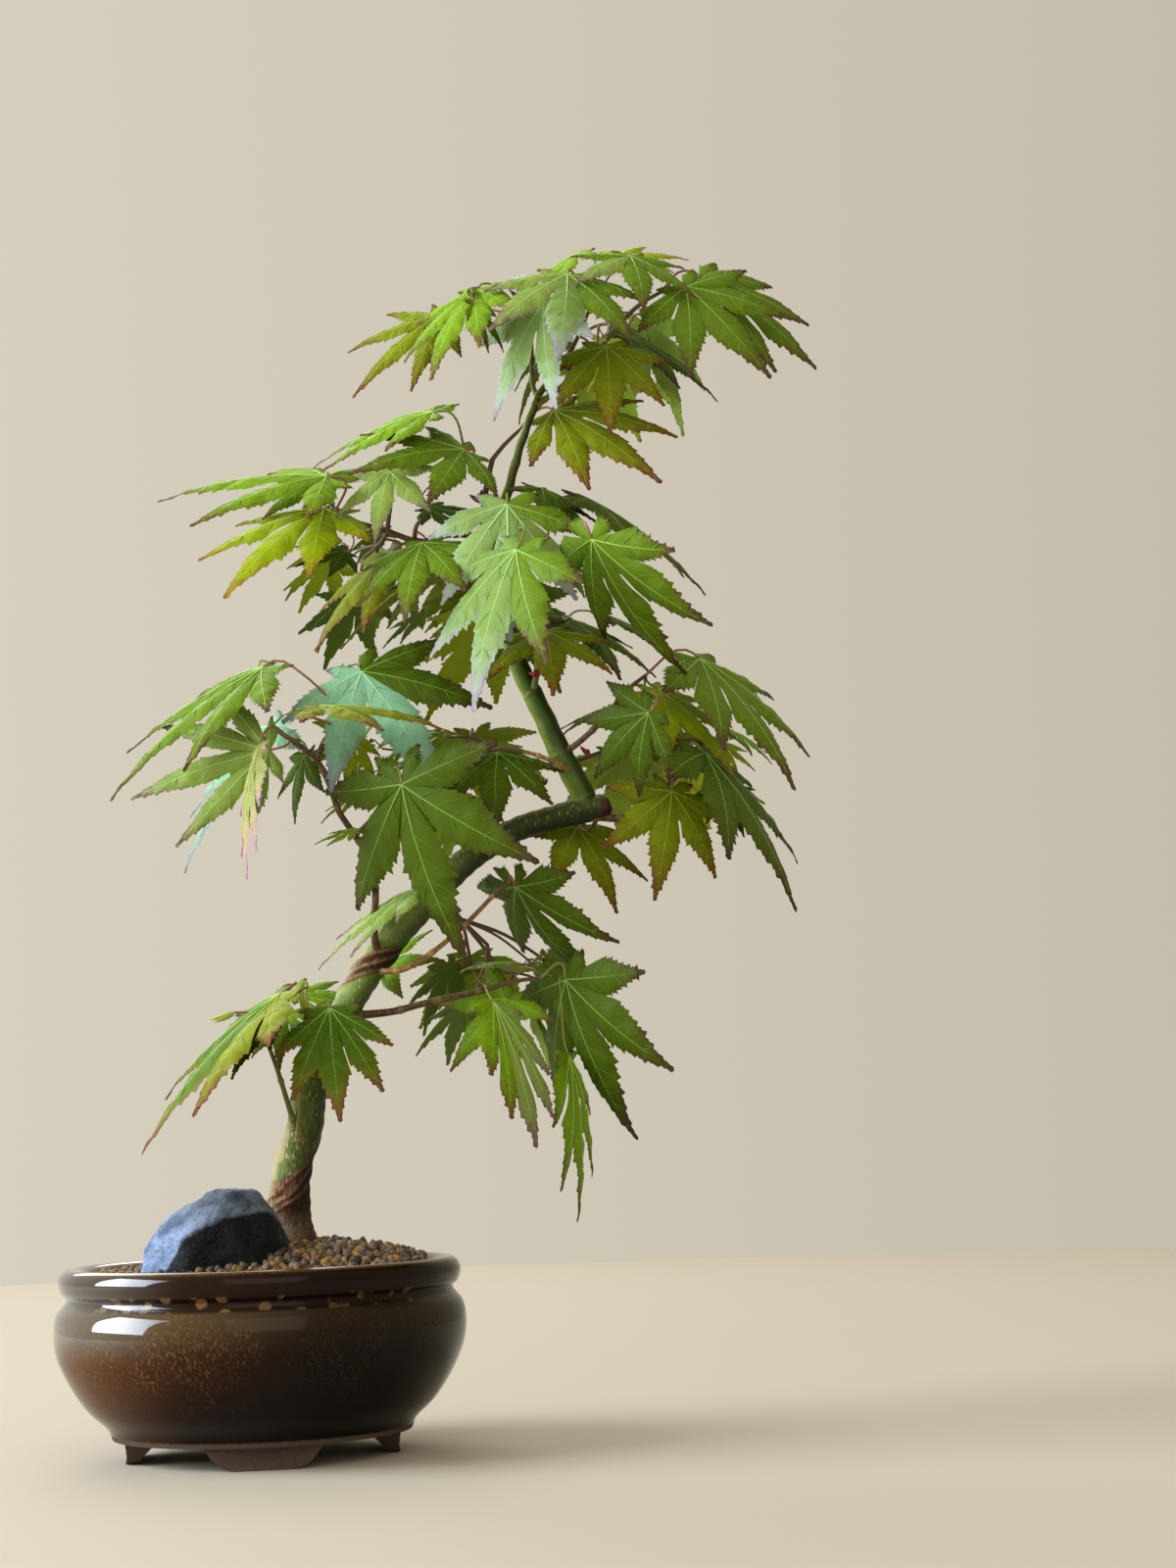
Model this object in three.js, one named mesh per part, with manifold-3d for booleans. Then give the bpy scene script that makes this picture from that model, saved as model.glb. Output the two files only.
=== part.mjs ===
import * as THREE from "three";
import { mergeVertices } from "three/addons/utils/BufferGeometryUtils.js";
import Module from "manifold-3d";

const wasm = await Module();
wasm.setup();

// Sizes in millimetres, angles in degrees. X is right, Y is back, Z is up.
const GAP = 0.3;
const SIDES = 36;

// The pot: a round bowl with a rolled lip, a neck under it, a full belly and four feet.
const FOOT_HEIGHT = 7;
const BASE_RADIUS = 47;
const BELLY_RADIUS = 65;
const BELLY_HEIGHT = 40;
const NECK_RADIUS = 60.8;
const NECK_HEIGHT = 50.5;
const LIP_RADIUS = 63.5;
const LIP_HEIGHT = 56.5;
const RIM_HEIGHT = 60;
const MOUTH_RADIUS = 54.5;
const WALL = 6;
const FOOT_TOP_WIDTH = 35;
const FOOT_SOLE_WIDTH = 17;
const FOOT_INNER = 30;
const FOOT_OUTER = 46;
const FOOT_SLOPE = 2.5;
const FOOT_HOLLOW = 8.5;
const FOOT_SUNK = 4;
const POT_TURN = 7;

// The gravel: a mound with a flat patch that the trunk stands on.
const GROUND = 64.4;
const GRAVEL_EDGE = 56.5;
const TRUNK_FOOT = [10, 5];
const PATCH_RADIUS = 12;
const MOUND_RADIUS = 46;

// The rock: flat facets, each a direction and its distance from the rock's middle.
const ROCK_AT = [-11, -19, 68.5];
const ROCK_FACETS = [
  [-1, 0.1, 0.05, 23],
  [-0.8, 0.1, 0.6, 16.6],
  [-0.48, 0.05, 0.88, 13.8],
  [0.05, 0.1, 1, 15.2],
  [0.81, 0, 0.59, 18.6],
  [0.96, 0.1, 0.29, 20.6],
  [0.15, -1, 0.1, 14],
  [-0.35, -0.6, 0.72, 12.6],
  [0.45, -0.75, 0.4, 13.4],
  [0.1, 1, 0.15, 12.5],
  [-0.1, 0.7, 0.7, 13],
  [-0.65, -0.72, 0.1, 17],
  [0.8, -0.5, 0.1, 18],
  [0, 0, -1, 12],
];

// The limbs: stations along each one as x, y, z and radius.
const LIMBS = [
  { name: "trunk", colour: 0x5a6a35, sides: 12, steps: 28, stations: [
    [10, 5, 56, 9], [10, 5, 65, 7.6], [9, 5, 73, 6.6], [10, 4, 87, 6.2], [12, 3, 95, 5.8],
    [15, 2, 103, 5.8], [17, 0, 114, 5.3], [20, -1, 124, 4.9], [26, -1, 134, 4.8], [33, 0, 146, 4.8],
    [42, 2, 159, 5], [51, 2, 169, 4.9], [60, 1, 178, 4.7], [68, 0, 185, 4.4], [77, 0, 191, 4.1],
    [87, 0, 196, 3.9], [98, 0, 199, 3.9], [107, 0, 201, 4.3], [114, 0, 202, 4]] },
  { name: "leader", colour: 0x67803c, sides: 10, steps: 18, stations: [
    [109, 0, 201, 3.8], [106, 0, 209, 3.9], [100, 0, 221, 3.7], [96, 1, 231, 3.4], [92, 2, 240, 3.3],
    [88, 2, 249, 3.2], [85, 2, 259, 2.9], [83, 2, 269, 2.6], [82, 2, 279, 2.3], [82, 2, 289, 2],
    [83, 2, 299, 1.8], [86, 1, 308, 1.6], [90, 0, 321, 1.4], [94, 0, 332, 1.3], [98, 0, 341, 1.1],
    [104, 0, 348, 0.9]] },
  { name: "bough_left_middle", colour: 0x57401f, sides: 6, steps: 14, stations: [
    [40, 0, 154, 1.4], [39, -6, 164, 1.2], [40, -9, 177, 1.1], [38, -10, 187, 1.1], [34, -10, 194, 1],
    [29, -10, 202, 1], [26, -9, 211, 1], [22, -9, 219, 0.9], [14, -9, 226, 0.8]] },
  { name: "bough_lower_right", colour: 0x4b3a1f, sides: 6, steps: 6, stations: [
    [31, 0, 137, 1.4], [44, 1, 138, 1.2], [53, 1, 140, 1.1], [64, 0, 142, 1], [75, -1, 144, 0.9]] },
  { name: "bough_red", colour: 0x7d4a30, sides: 5, steps: 8, stations: [
    [37, 0, 151, 1.1], [48, -6, 151, 1], [56, -7, 155, 0.9], [63, -8, 160, 0.8], [70, -8, 166, 0.8],
    [78, -8, 174, 0.7]] },
  { name: "shoot_lower_left", colour: 0x7a6a35, sides: 5, steps: 6, stations: [
    [12, -2, 102, 0.9], [9, -8, 115, 0.8], [7, -9, 122, 0.7], [4, -8, 130, 0.6]] },
  { name: "shoot_lower_front", colour: 0x7a6a35, sides: 5, steps: 6, stations: [
    [13, -3, 98, 0.9], [15, -10, 111, 0.8], [16, -13, 123, 0.7], [17, -11, 136, 0.7]] },
  { name: "bough_elbow", colour: 0x4b3a22, sides: 6, steps: 6, stations: [
    [111, 0, 199, 1.4], [120, -2, 198, 1.2], [127, -2, 203, 1.1], [136, -2, 209, 0.9]] },
  { name: "bough_right_middle", colour: 0x6a4a2c, sides: 6, steps: 6, stations: [
    [100, 0, 219, 1.2], [107, -4, 223, 1], [116, -6, 231, 0.9], [120, -6, 236, 0.8]] },
  { name: "shoot_leader", colour: 0x6e5a30, sides: 5, steps: 5, stations: [
    [92, 1, 240, 1.1], [94, -5, 248, 0.9], [93, -7, 256, 0.8], [92, -8, 262, 0.7]] },
  { name: "shoot_leader_foot", colour: 0x8a5a3a, sides: 5, steps: 5, stations: [
    [104, 0, 213, 1], [101, -6, 215, 0.8], [94, -8, 218, 0.7], [88, -8, 220, 0.6]] },
  { name: "bough_upper_left", colour: 0x3c2f1c, sides: 6, steps: 10, stations: [
    [82, 2, 287, 1.4], [76, -1, 292, 1.2], [67, -3, 293, 1.1], [57, -3, 291, 1], [46, -2, 295, 0.9],
    [35, 0, 299, 0.9]] },
  { name: "shoot_side", colour: 0x43301f, sides: 6, steps: 6, stations: [
    [82, 2, 294, 1.3], [78, 5, 302, 1.2], [79, 6, 312, 1], [81, 6, 320, 0.9]] },
  { name: "shoot_apex", colour: 0x5b4a26, sides: 5, steps: 4, stations: [
    [97, 0, 338, 0.9], [95, 4, 345, 0.8], [95, 5, 352, 0.7]] },
  { name: "bough_top_right", colour: 0x6f5a2c, sides: 5, steps: 6, stations: [
    [96, 0, 336, 1], [106, 6, 345, 0.9], [117, 7, 356, 0.8], [126, 5, 366, 0.7]] },
];

// The blade of a leaf: its lobes as turn from the middle lobe and reach as a share of its length.
const LOBES = [[-82, 0.6], [-40, 0.85], [0, 1], [40, 0.85], [82, 0.6]];
const LOBE_HALF_WIDTH = 0.15;
const LOBE_HALF_TURN = 19;
const LOBE_WIDEST = 0.5;
const SINUS = 0.4;
const NOTCH = 0.09;
const DROOP = 0.25;
const EDGE_DROP = 0.03;
const BLADE_HALF_THICKNESS = 0.4;
const PETIOLE_RADIUS = 0.5;
const PETIOLE_SUNK = 0.03;
const STEM_RADIUS = 0.7;
const FINEST = 0.15;

// The masses of foliage. A stem's stations are x, y, z. A leaf is the place where its petiole
// ends, then the heading, dip and roll of its middle lobe, its length, the spread of its lobes and,
// for a slim leaf, their width.
// Back leaves grow by rule: how many, the middle and the reach of the space they keep to.
const MASSES = [
  { name: "foliage_top_centre", tint: 0x86a84c, stem: [[104, 0, 348], [110, 1, 358], [116, 3, 372]],
    leaves: [
      [108, -14, 376, 265, 38, -8, 47, 0.88], [100, -17, 366, 155, 50, -70, 42, 1.1],
      [112, 10, 391, 205, 30, -10, 28, 0.9], [129, -6, 384, 280, 35, -5, 33, 1.2],
      [125, 16, 391, 10, -14, 35, 25, 1.16]] },
  { name: "foliage_top_right", tint: 0x6f9038, stem: [[126, 5, 366], [132, 1, 370], [139, -2, 373]],
    leaves: [
      [147, -6, 373, 330, 42, 44, 42, 1], [153, 6, 380, 358, 31, 51, 48, 0.55]] },
  { name: "foliage_top_left", tint: 0x7f9c3f, stem: [[95, 5, 352], [95, 6, 360], [94, 6, 368]],
    leaves: [
      [78, -8, 374, 229, 42, -5, 40, 0.73], [77, -15, 368, 40, 35, 65, 21, 1],
      [64, 8, 370, 200, 33, -39, 39, 0.88, 0.7]] },
  { name: "foliage_top_under", tint: 0x7c8f26, stem: [[104, 2, 349], [110, 6, 352], [116, 8, 355]],
    leaves: [
      [120, -2, 355, 270, 50, 0, 37, 0.88], [129, 14, 362, 0, 25, 25, 35, 1]] },
  { name: "foliage_upper_middle", tint: 0x7a9130, stem: [[81, 6, 320], [85, 7, 325], [90, 8, 330]],
    leaves: [[102, 6, 336, 315, 25, 35, 50, 0.7, 0.85]] },
  { name: "foliage_upper_left_back", tint: 0x6d8f3a, stem: [[79, 6, 313], [76, 5, 318], [72, 4, 322]],
    leaves: [
      [62, -4, 334, 159, 2, -28, 49, 0.92, 0.8], [72, -4, 321, 215, 5, -40, 41, 1.1],
      [59, 4, 304, 350, 10, 30, 22, 1]] },
  { name: "foliage_upper_left_tip", tint: 0x84a33a, stem: [[35, 0, 299], [31, 2, 302], [27, 4, 306]],
    leaves: [
      [27, -6, 313, 170, -10, -25, 59, 1.2, 0.8], [23, 14, 316, 180, 0, -40, 29, 1],
      [25, 5, 305, 230, 25, -15, 53, 0.8], [31, 12, 292, 225, 10, -40, 20, 0.9]] },
  { name: "foliage_upper_left_front", tint: 0x6c9540, stem: [[46, -2, 295], [47, -6, 299], [48, -8, 303]],
    leaves: [[48, -10, 313, 245, 55, -5, 27, 1.2]] },
  { name: "foliage_upper_left_low", tint: 0x6d9434, stem: [[55, -4, 292], [56, -8, 295], [58, -10, 297]],
    leaves: [[58, -10, 289, 255, 40, 5, 37, 0.9]] },
  { name: "foliage_centre_front", tint: 0x86b065, stem: [[83, 1, 296], [85, -5, 294], [87, -12, 291]],
    leaves: [
      [86, -18, 299, 268, 66, 0, 46, 0.85], [89, -36, 280, 210, 60, -20, 52, 0.9]] },
  { name: "foliage_centre_right", tint: 0x6b9138, stem: [[82, 2, 285], [98, -6, 284], [110, -22, 284]],
    leaves: [
      [113, -39, 282, 227, 120, 12, 54, 0.9], [113, 14, 307, 345, 30, 5, 51, 1],
      [97, 4, 309, 320, 30, 0, 30, 1]] },
  { name: "foliage_centre_low", tint: 0x55702a, stem: [[92, -8, 262], [97, -3, 263], [103, 2, 264]],
    leaves: [
      [106, 12, 266, 300, 25, -10, 40, 1], [117, 26, 270, 0, 20, 10, 31, 1],
      [97, -13, 258, 275, 30, 0, 36, 1]] },
  { name: "foliage_left_middle", tint: 0x6d8f48, stem: [[14, -9, 226], [10, -6, 229], [7, -4, 232]],
    leaves: [
      [5, -8, 250, 200, 28, -14, 64, 0.82, 0.7], [7, -14, 222, 174, 11, -77, 50, 0.76, 0.6],
      [4, 26, 236, 195, 45, -15, 56, 1, 0.6], [6, -28, 222, 200, 70, 0, 42, 0.4],
      [17, 2, 222, 215, 65, -5, 22, 1.2]] },
  { name: "foliage_left_front", tint: 0x74a06c, stem: [[22, -9, 219], [24, -10, 224], [28, -11, 230]],
    leaves: [
      [37, -6, 248, 315, 45, 40, 51, 1.1], [26, -38, 232, 345, 0, 10, 44, 1],
      [31, 16, 232, 285, 60, -35, 26, 1]] },
  { name: "foliage_big_leaf", tint: 0x3f6a25, stem: [[34, -10, 194], [38, -15, 197], [43, -20, 201]],
    leaves: [
      [51, -34, 207, 190, 100, -45, 59, 1.2], [34, -16, 195, 190, 5, 10, 13, 1]] },
  { name: "foliage_elbow", tint: 0x5f7d2c, stem: [[88, -8, 220], [83, -7, 221], [76, -5, 221]],
    leaves: [
      [80, 2, 221, 270, 30, 0, 39, 0.8], [62, 2, 221, 235, 5, 0, 32, 1]] },
  { name: "foliage_right_middle", tint: 0x5a7d30, stem: [[120, -6, 236], [124, -6, 240], [129, -4, 244]],
    leaves: [
      [129, -28, 228, 145, 34, -99, 33, 0.86], [133, 1, 240, 330, 35, 10, 39, 1],
      [123, 14, 238, 220, 10, 0, 30, 1], [147, 3, 250, 325, 40, 5, 56, 0.8]] },
  { name: "foliage_right_low", tint: 0x4f6d28, stem: [[136, -2, 209], [139, -4, 211], [142, -6, 213]],
    leaves: [
      [147, -10, 217, 338, 47, 5, 58, 0.94], [136, -10, 205, 255, 65, -35, 36, 1],
      [153, 6, 208, 300, 45, 10, 20, 1]] },
  { name: "foliage_under_elbow", tint: 0x77802a, stem: [[112, 1, 199], [110, 6, 196], [108, 8, 195]],
    leaves: [[105, 14, 197, 310, 45, 5, 34, 1.1]] },
  { name: "foliage_lower_right_high", tint: 0x47702a, stem: [[78, -8, 174], [81, -9, 176], [83, -9, 177]],
    leaves: [[85, -10, 176, 218, 121, 1, 45, 1.1]] },
  { name: "foliage_lower_right", tint: 0x568030, stem: [[75, -1, 144], [82, -2, 146], [92, -3, 147]],
    leaves: [
      [100, -6, 146, 190, 100, -29, 55, 1.03], [80, 4, 141, 185, 45, -60, 29, 1.3],
      [77, -20, 139, 312, 52, 0, 48, 0.3], [72, 4, 152, 325, -10, 5, 22, 1],
      [100, 2, 122, 5, 75, 20, 52, 0.6, 0.75]] },
  { name: "foliage_lower_left", tint: 0x6f7f33, stem: [[4, -8, 130], [3, -6, 134], [3, -4, 140]],
    leaves: [
      [10, -18, 144, 193, 34, -8, 64, 0.79], [5, 4, 140, 193, 31, -24, 33, 0.76],
      [8, 18, 139, 260, 40, 10, 22, 0.9], [12, 14, 145, 12, -8, 35, 22, 0.85]] },
  { name: "foliage_lower_left_front", tint: 0x4f7a35, stem: [[17, -11, 136], [18, -12, 138], [20, -13, 139]],
    leaves: [[25, -14, 139, 280, 45, 5, 41, 0.6]] },
  { name: "foliage_trunk_front", tint: 0x7ba36a, stem: [[56, 0, 173], [56, -5, 176], [56, -8, 177]],
    leaves: [[53, -12, 176, 187, 24, -13, 39, 0.74, 0.8]] },
  { name: "foliage_trunk_back", tint: 0x86a63a, stem: [[35, 2, 148], [38, 9, 150], [39, 12, 152]],
    leaves: [[39, 16, 154, 320, -10, 50, 24, 1.2]] },
  { name: "foliage_back_top", tint: 0x76953a, stem: [[121, 6, 361], [122, 18, 368], [126, 28, 371]],
    leaves: [], grow: { seed: 11, count: 3, middle: [124, 44, 368], reach: [52, 46, 40] } },
  { name: "foliage_back_upper", tint: 0x5f8230, stem: [[82, 4, 276], [80, 16, 282], [77, 28, 286]],
    leaves: [], grow: { seed: 23, count: 5, middle: [78, 42, 280], reach: [58, 52, 46] } },
  { name: "foliage_back_left", tint: 0x668a38, stem: [[46, 0, 295], [42, 14, 294], [36, 24, 292]],
    leaves: [[47, 8, 290, 189, 39, -27, 41, 0.92]],
    grow: { seed: 31, count: 2, middle: [44, 44, 290], reach: [50, 48, 40] } },
  { name: "foliage_back_middle", tint: 0x587a2e, stem: [[101, 3, 218], [88, 14, 216], [72, 24, 217]],
    leaves: [], grow: { seed: 41, count: 4, middle: [54, 44, 222], reach: [54, 50, 44] } },
  { name: "foliage_back_right", tint: 0x587a2e, stem: [[102, 2, 216], [114, 16, 222], [124, 26, 226]],
    leaves: [], grow: { seed: 53, count: 4, middle: [134, 42, 222], reach: [52, 48, 44] } },
  { name: "foliage_back_low", tint: 0x5b8030, stem: [[60, 3, 176], [66, 14, 168], [74, 22, 160]],
    leaves: [], grow: { seed: 67, count: 4, middle: [84, 42, 146], reach: [50, 46, 42] } },
];

// How leaves grow by rule: tries for each mass, the turn between the two leaves of a twig, the
// petiole's reach and rise, and how clear a blade keeps of other blades and of limbs
const TRIES = 200;
const PAIR_TURN = 40;
const PETIOLE_REACH = 9;
const PETIOLE_RISE = 3;
const BLADE_CLEAR = 4.5;
const LIMB_CLEAR = 2.5;
const TWIG_CLEAR = 5;
const TWIG_RADIUS = 0.6;
const SHORTEST = 34;
const LONGEST = 50;

const rad = THREE.MathUtils.degToRad;
const vec = (p) => new THREE.Vector3(p[0], p[1], p[2]);

// A solid from a closed geometry
function solid(geometry) {
  const bare = geometry.index ? geometry : geometry.clone();
  bare.deleteAttribute("normal");
  bare.deleteAttribute("uv");
  const merged = mergeVertices(bare, 1e-4);
  return new wasm.Manifold(new wasm.Mesh({
    numProp: 3,
    vertProperties: Float32Array.from(merged.attributes.position.array),
    triVerts: Uint32Array.from(merged.index.array),
  }));
}

function geometryOf(body) {
  const mesh = body.getMesh();
  const geometry = new THREE.BufferGeometry();
  geometry.setAttribute("position", new THREE.BufferAttribute(Float32Array.from(mesh.vertProperties), 3));
  geometry.setIndex(new THREE.BufferAttribute(Uint32Array.from(mesh.triVerts), 1));
  return geometry;
}

function fromTriangles(points, triangles) {
  const geometry = new THREE.BufferGeometry();
  geometry.setAttribute("position", new THREE.Float32BufferAttribute(points.flat(), 3));
  geometry.setIndex(triangles.flat());
  return geometry;
}

// A round limb through its stations, swelling and tapering between them
function limb(stations, steps, sides, extra = 0) {
  const path = new THREE.CatmullRomCurve3(stations.map(vec));
  const widths = stations.map((s) => s[3] + extra);
  const frames = path.computeFrenetFrames(steps);
  const points = [];
  const triangles = [];
  for (let i = 0; i <= steps; i++) {
    const along = path.getUtoTmapping(i / steps) * (stations.length - 1);
    const k = Math.min(Math.floor(along), stations.length - 2);
    const width = THREE.MathUtils.lerp(widths[k], widths[k + 1], along - k);
    const centre = path.getPointAt(i / steps);
    const end = i === 0 ? -extra : i === steps ? extra : 0;
    centre.addScaledVector(frames.tangents[i], end);
    for (let j = 0; j < sides; j++) {
      const angle = 2 * Math.PI * j / sides;
      points.push(centre.clone()
        .addScaledVector(frames.normals[i], width * Math.cos(angle))
        .addScaledVector(frames.binormals[i], width * Math.sin(angle)).toArray());
    }
  }
  for (let i = 0; i < steps; i++) {
    for (let j = 0; j < sides; j++) {
      const a = i * sides + j;
      const b = i * sides + (j + 1) % sides;
      triangles.push([a, b, a + sides], [b, b + sides, a + sides]);
    }
  }
  const last = steps * sides;
  for (let j = 1; j < sides - 1; j++) {
    triangles.push([0, j + 1, j], [last, last + j, last + j + 1]);
  }
  return solid(fromTriangles(points, triangles));
}

// The axes of a blade: along its middle lobe, to its left and out of its upper face
function bladeAxes(heading, dip, roll) {
  const [h, d, r] = [rad(heading), rad(dip), rad(roll)];
  const along = new THREE.Vector3(Math.cos(d) * Math.cos(h), Math.cos(d) * Math.sin(h), -Math.sin(d));
  const up = new THREE.Vector3(Math.sin(d) * Math.cos(h), Math.sin(d) * Math.sin(h), Math.cos(d));
  const left = new THREE.Vector3().crossVectors(up, along);
  return {
    along,
    left: left.clone().multiplyScalar(Math.cos(r)).addScaledVector(up, Math.sin(r)),
    up: up.clone().multiplyScalar(Math.cos(r)).addScaledVector(left, -Math.sin(r)),
  };
}

// A palmate blade: five lobes round the petiole's end, each bending down along its midrib and
// keeping clear of the next
function blade([x, y, z, heading, dip, roll, length, spread, width = 1]) {
  const { along, left, up } = bladeAxes(heading, dip, roll);
  const slant = Math.tan(rad(LOBE_HALF_TURN * spread));
  const points = [];
  const put = (u, v, lift) => {
    const drop = DROOP * (u * u + v * v) / length;
    points.push(new THREE.Vector3(x, y, z)
      .addScaledVector(along, u).addScaledVector(left, v).addScaledVector(up, lift - drop).toArray());
    return points.length - 1;
  };
  const heartTop = put(0, 0, BLADE_HALF_THICKNESS);
  const heartBottom = put(0, 0, -BLADE_HALF_THICKNESS);
  const notch = put(-NOTCH * length, 0, 0);
  const triangles = [];
  let before = notch;
  LOBES.forEach(([turn, reach], i) => {
    const angle = rad(turn * spread);
    const [c, s] = [Math.cos(angle), Math.sin(angle)];
    const at = (r, side, lift) => put(r * c - side * s, r * s + side * c, lift);
    const out = LOBE_WIDEST * reach * length;
    const half = Math.min(LOBE_HALF_WIDTH * width * length * Math.sqrt(reach), out * slant);
    const right = at(out, -half, -EDGE_DROP * length);
    const tip = at(reach * length, 0, 0);
    const leftEdge = at(out, half, -EDGE_DROP * length);
    const ribTop = at(out, 0, BLADE_HALF_THICKNESS);
    const ribBottom = at(out, 0, -BLADE_HALF_THICKNESS);
    const next = LOBES[i + 1];
    const middle = next ? rad((turn + next[0]) / 2 * spread) : 0;
    const depth = SINUS * (1 + width) / 2 * length * (next ? Math.min(reach, next[1]) : 0);
    const after = next ? put(depth * Math.cos(middle), depth * Math.sin(middle), 0) : notch;
    for (const [heart, rib, flip] of [[heartTop, ribTop, false], [heartBottom, ribBottom, true]]) {
      const faces = [
        [heart, before, right], [heart, right, rib], [rib, right, tip],
        [rib, tip, leftEdge], [heart, rib, leftEdge], [heart, leftEdge, after],
      ];
      triangles.push(...(flip ? faces.map(([a, b, d]) => [a, d, b]) : faces));
    }
    before = after;
  });
  return solid(fromTriangles(points, triangles));
}

// Places spread over a blade, to tell how close it comes to anything
function bladePlaces([x, y, z, heading, dip, roll, length, spread]) {
  const { along, left, up } = bladeAxes(heading, dip, roll);
  const places = [[x, y, z]];
  for (const [turn, reach] of LOBES) {
    const angle = rad(turn * spread);
    for (const share of [0.3, 0.55, 0.8, 1]) {
      for (const side of share < 0.7 ? [-0.1, 0, 0.1] : [0]) {
        const u = length * (share * reach * Math.cos(angle) - side * Math.sin(angle));
        const v = length * (share * reach * Math.sin(angle) + side * Math.cos(angle));
        const drop = DROOP * (u * u + v * v) / length;
        places.push([0, 1, 2].map((k) => [x, y, z][k]
          + u * along.getComponent(k) + v * left.getComponent(k) - drop * up.getComponent(k)));
      }
    }
  }
  return places;
}

const apart = (a, b) => Math.hypot(a[0] - b[0], a[1] - b[1], a[2] - b[2]);

// How far a place is from the middle line of a limb, less the limb's radius
function limbDistance(place, stations) {
  let least = Infinity;
  for (let i = 0; i < stations.length - 1; i++) {
    for (const share of [0, 0.25, 0.5, 0.75, 1]) {
      const at = stations[i].map((v, k) => v + (stations[i + 1][k] - v) * share);
      least = Math.min(least, apart(place, at) - at[3]);
    }
  }
  return least;
}

// Leaves in pairs at the ends of twigs, skipped where they would leave their space or touch
function growLeaves({ stem, grow }, taken) {
  let state = grow.seed;
  const random = () => {
    state = (state * 1664525 + 1013904223) % 4294967296;
    return state / 4294967296;
  };
  const twigs = [];
  let grown = 0;
  for (let i = 0; i < TRIES && grown < grow.count; i++) {
    const around = 360 * random();
    const lift = 2 * random() - 1;
    const out = 0.1 + 0.35 * random();
    const flat = Math.sqrt(1 - lift * lift);
    const away = [flat * Math.cos(rad(around)), flat * Math.sin(rad(around)), lift];
    const end = grow.middle.map((v, k) => v + grow.reach[k] * away[k] * out);
    const root = stem[1 + Math.floor(2 * random())];
    const outward = THREE.MathUtils.radToDeg(Math.atan2(end[1] - stem[0][1], end[0] - stem[0][0]));
    const facing = outward + 50 * (random() - 0.5);
    const leaves = [];
    const free = (places, distance) => places.every((p) => taken.every((q) => apart(p, q) > distance));
    const twig = [0.25, 0.5, 0.75, 1].map((share) => root.map((v, k) => v + (end[k] - v) * share));
    if (!free(twig, TWIG_CLEAR)) {
      continue;
    }
    for (const side of [-1, 1]) {
      const heading = facing + side * PAIR_TURN;
      const leaf = [
        end[0] + PETIOLE_REACH * Math.cos(rad(heading)), end[1] + PETIOLE_REACH * Math.sin(rad(heading)),
        end[2] + PETIOLE_RISE, heading, 20 + 35 * random(), 40 * (random() - 0.5),
        SHORTEST + (LONGEST - SHORTEST) * random(), 0.85 + 0.25 * random(),
      ];
      const places = bladePlaces(leaf);
      const inside = places.every((p) =>
        p.reduce((sum, v, k) => sum + ((v - grow.middle[k]) / grow.reach[k]) ** 2, 0) < 1);
      const offLimbs = inside && places.every((p) =>
        LIMBS.every((other) => limbDistance(p, other.stations) > LIMB_CLEAR));
      if (offLimbs && free(places, BLADE_CLEAR) && grown < grow.count) {
        leaves.push(leaf);
        taken.push(...places);
        grown += 1;
      }
    }
    if (leaves.length > 0) {
      twigs.push({ root, end, leaves });
    }
  }
  return twigs;
}

// A petiole from the nearest place on the stem, arching over to the heart of its blade
function petiole(leaf, stem) {
  const { along } = bladeAxes(leaf[3], leaf[4], leaf[5]);
  const heart = vec(leaf).addScaledVector(along, -NOTCH * leaf[6]);
  let root = stem[0];
  let nearest = Infinity;
  for (let i = 0; i < stem.length - 1; i++) {
    const segment = new THREE.Line3(vec(stem[i]), vec(stem[i + 1]));
    const place = segment.closestPointToPoint(heart, true, new THREE.Vector3());
    if (place.distanceTo(heart) < nearest) {
      nearest = place.distanceTo(heart);
      root = place.toArray();
    }
  }
  if (nearest < 2) {
    root = stem[0];
  }
  const bend = heart.clone().addScaledVector(along, -0.35 * Math.max(nearest, 2));
  bend.lerp(vec(root), 0.2);
  const inside = vec(leaf).addScaledVector(along, -PETIOLE_SUNK * leaf[6]);
  const stations = [root, bend.toArray(), heart.toArray(), inside.toArray()];
  return limb(stations.map((p) => [...p, PETIOLE_RADIUS]), 2, 3);
}

// The largest piece of a solid, without loose scraps
function largest(body) {
  const pieces = body.decompose();
  return pieces.reduce((a, b) => (a.volume() > b.volume() ? a : b));
}

function mesh(name, body, colour, roughness) {
  const material = new THREE.MeshStandardMaterial({ color: colour, roughness, metalness: 0 });
  const item = new THREE.Mesh(geometryOf(body), material);
  item.name = name;
  return item;
}

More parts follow.
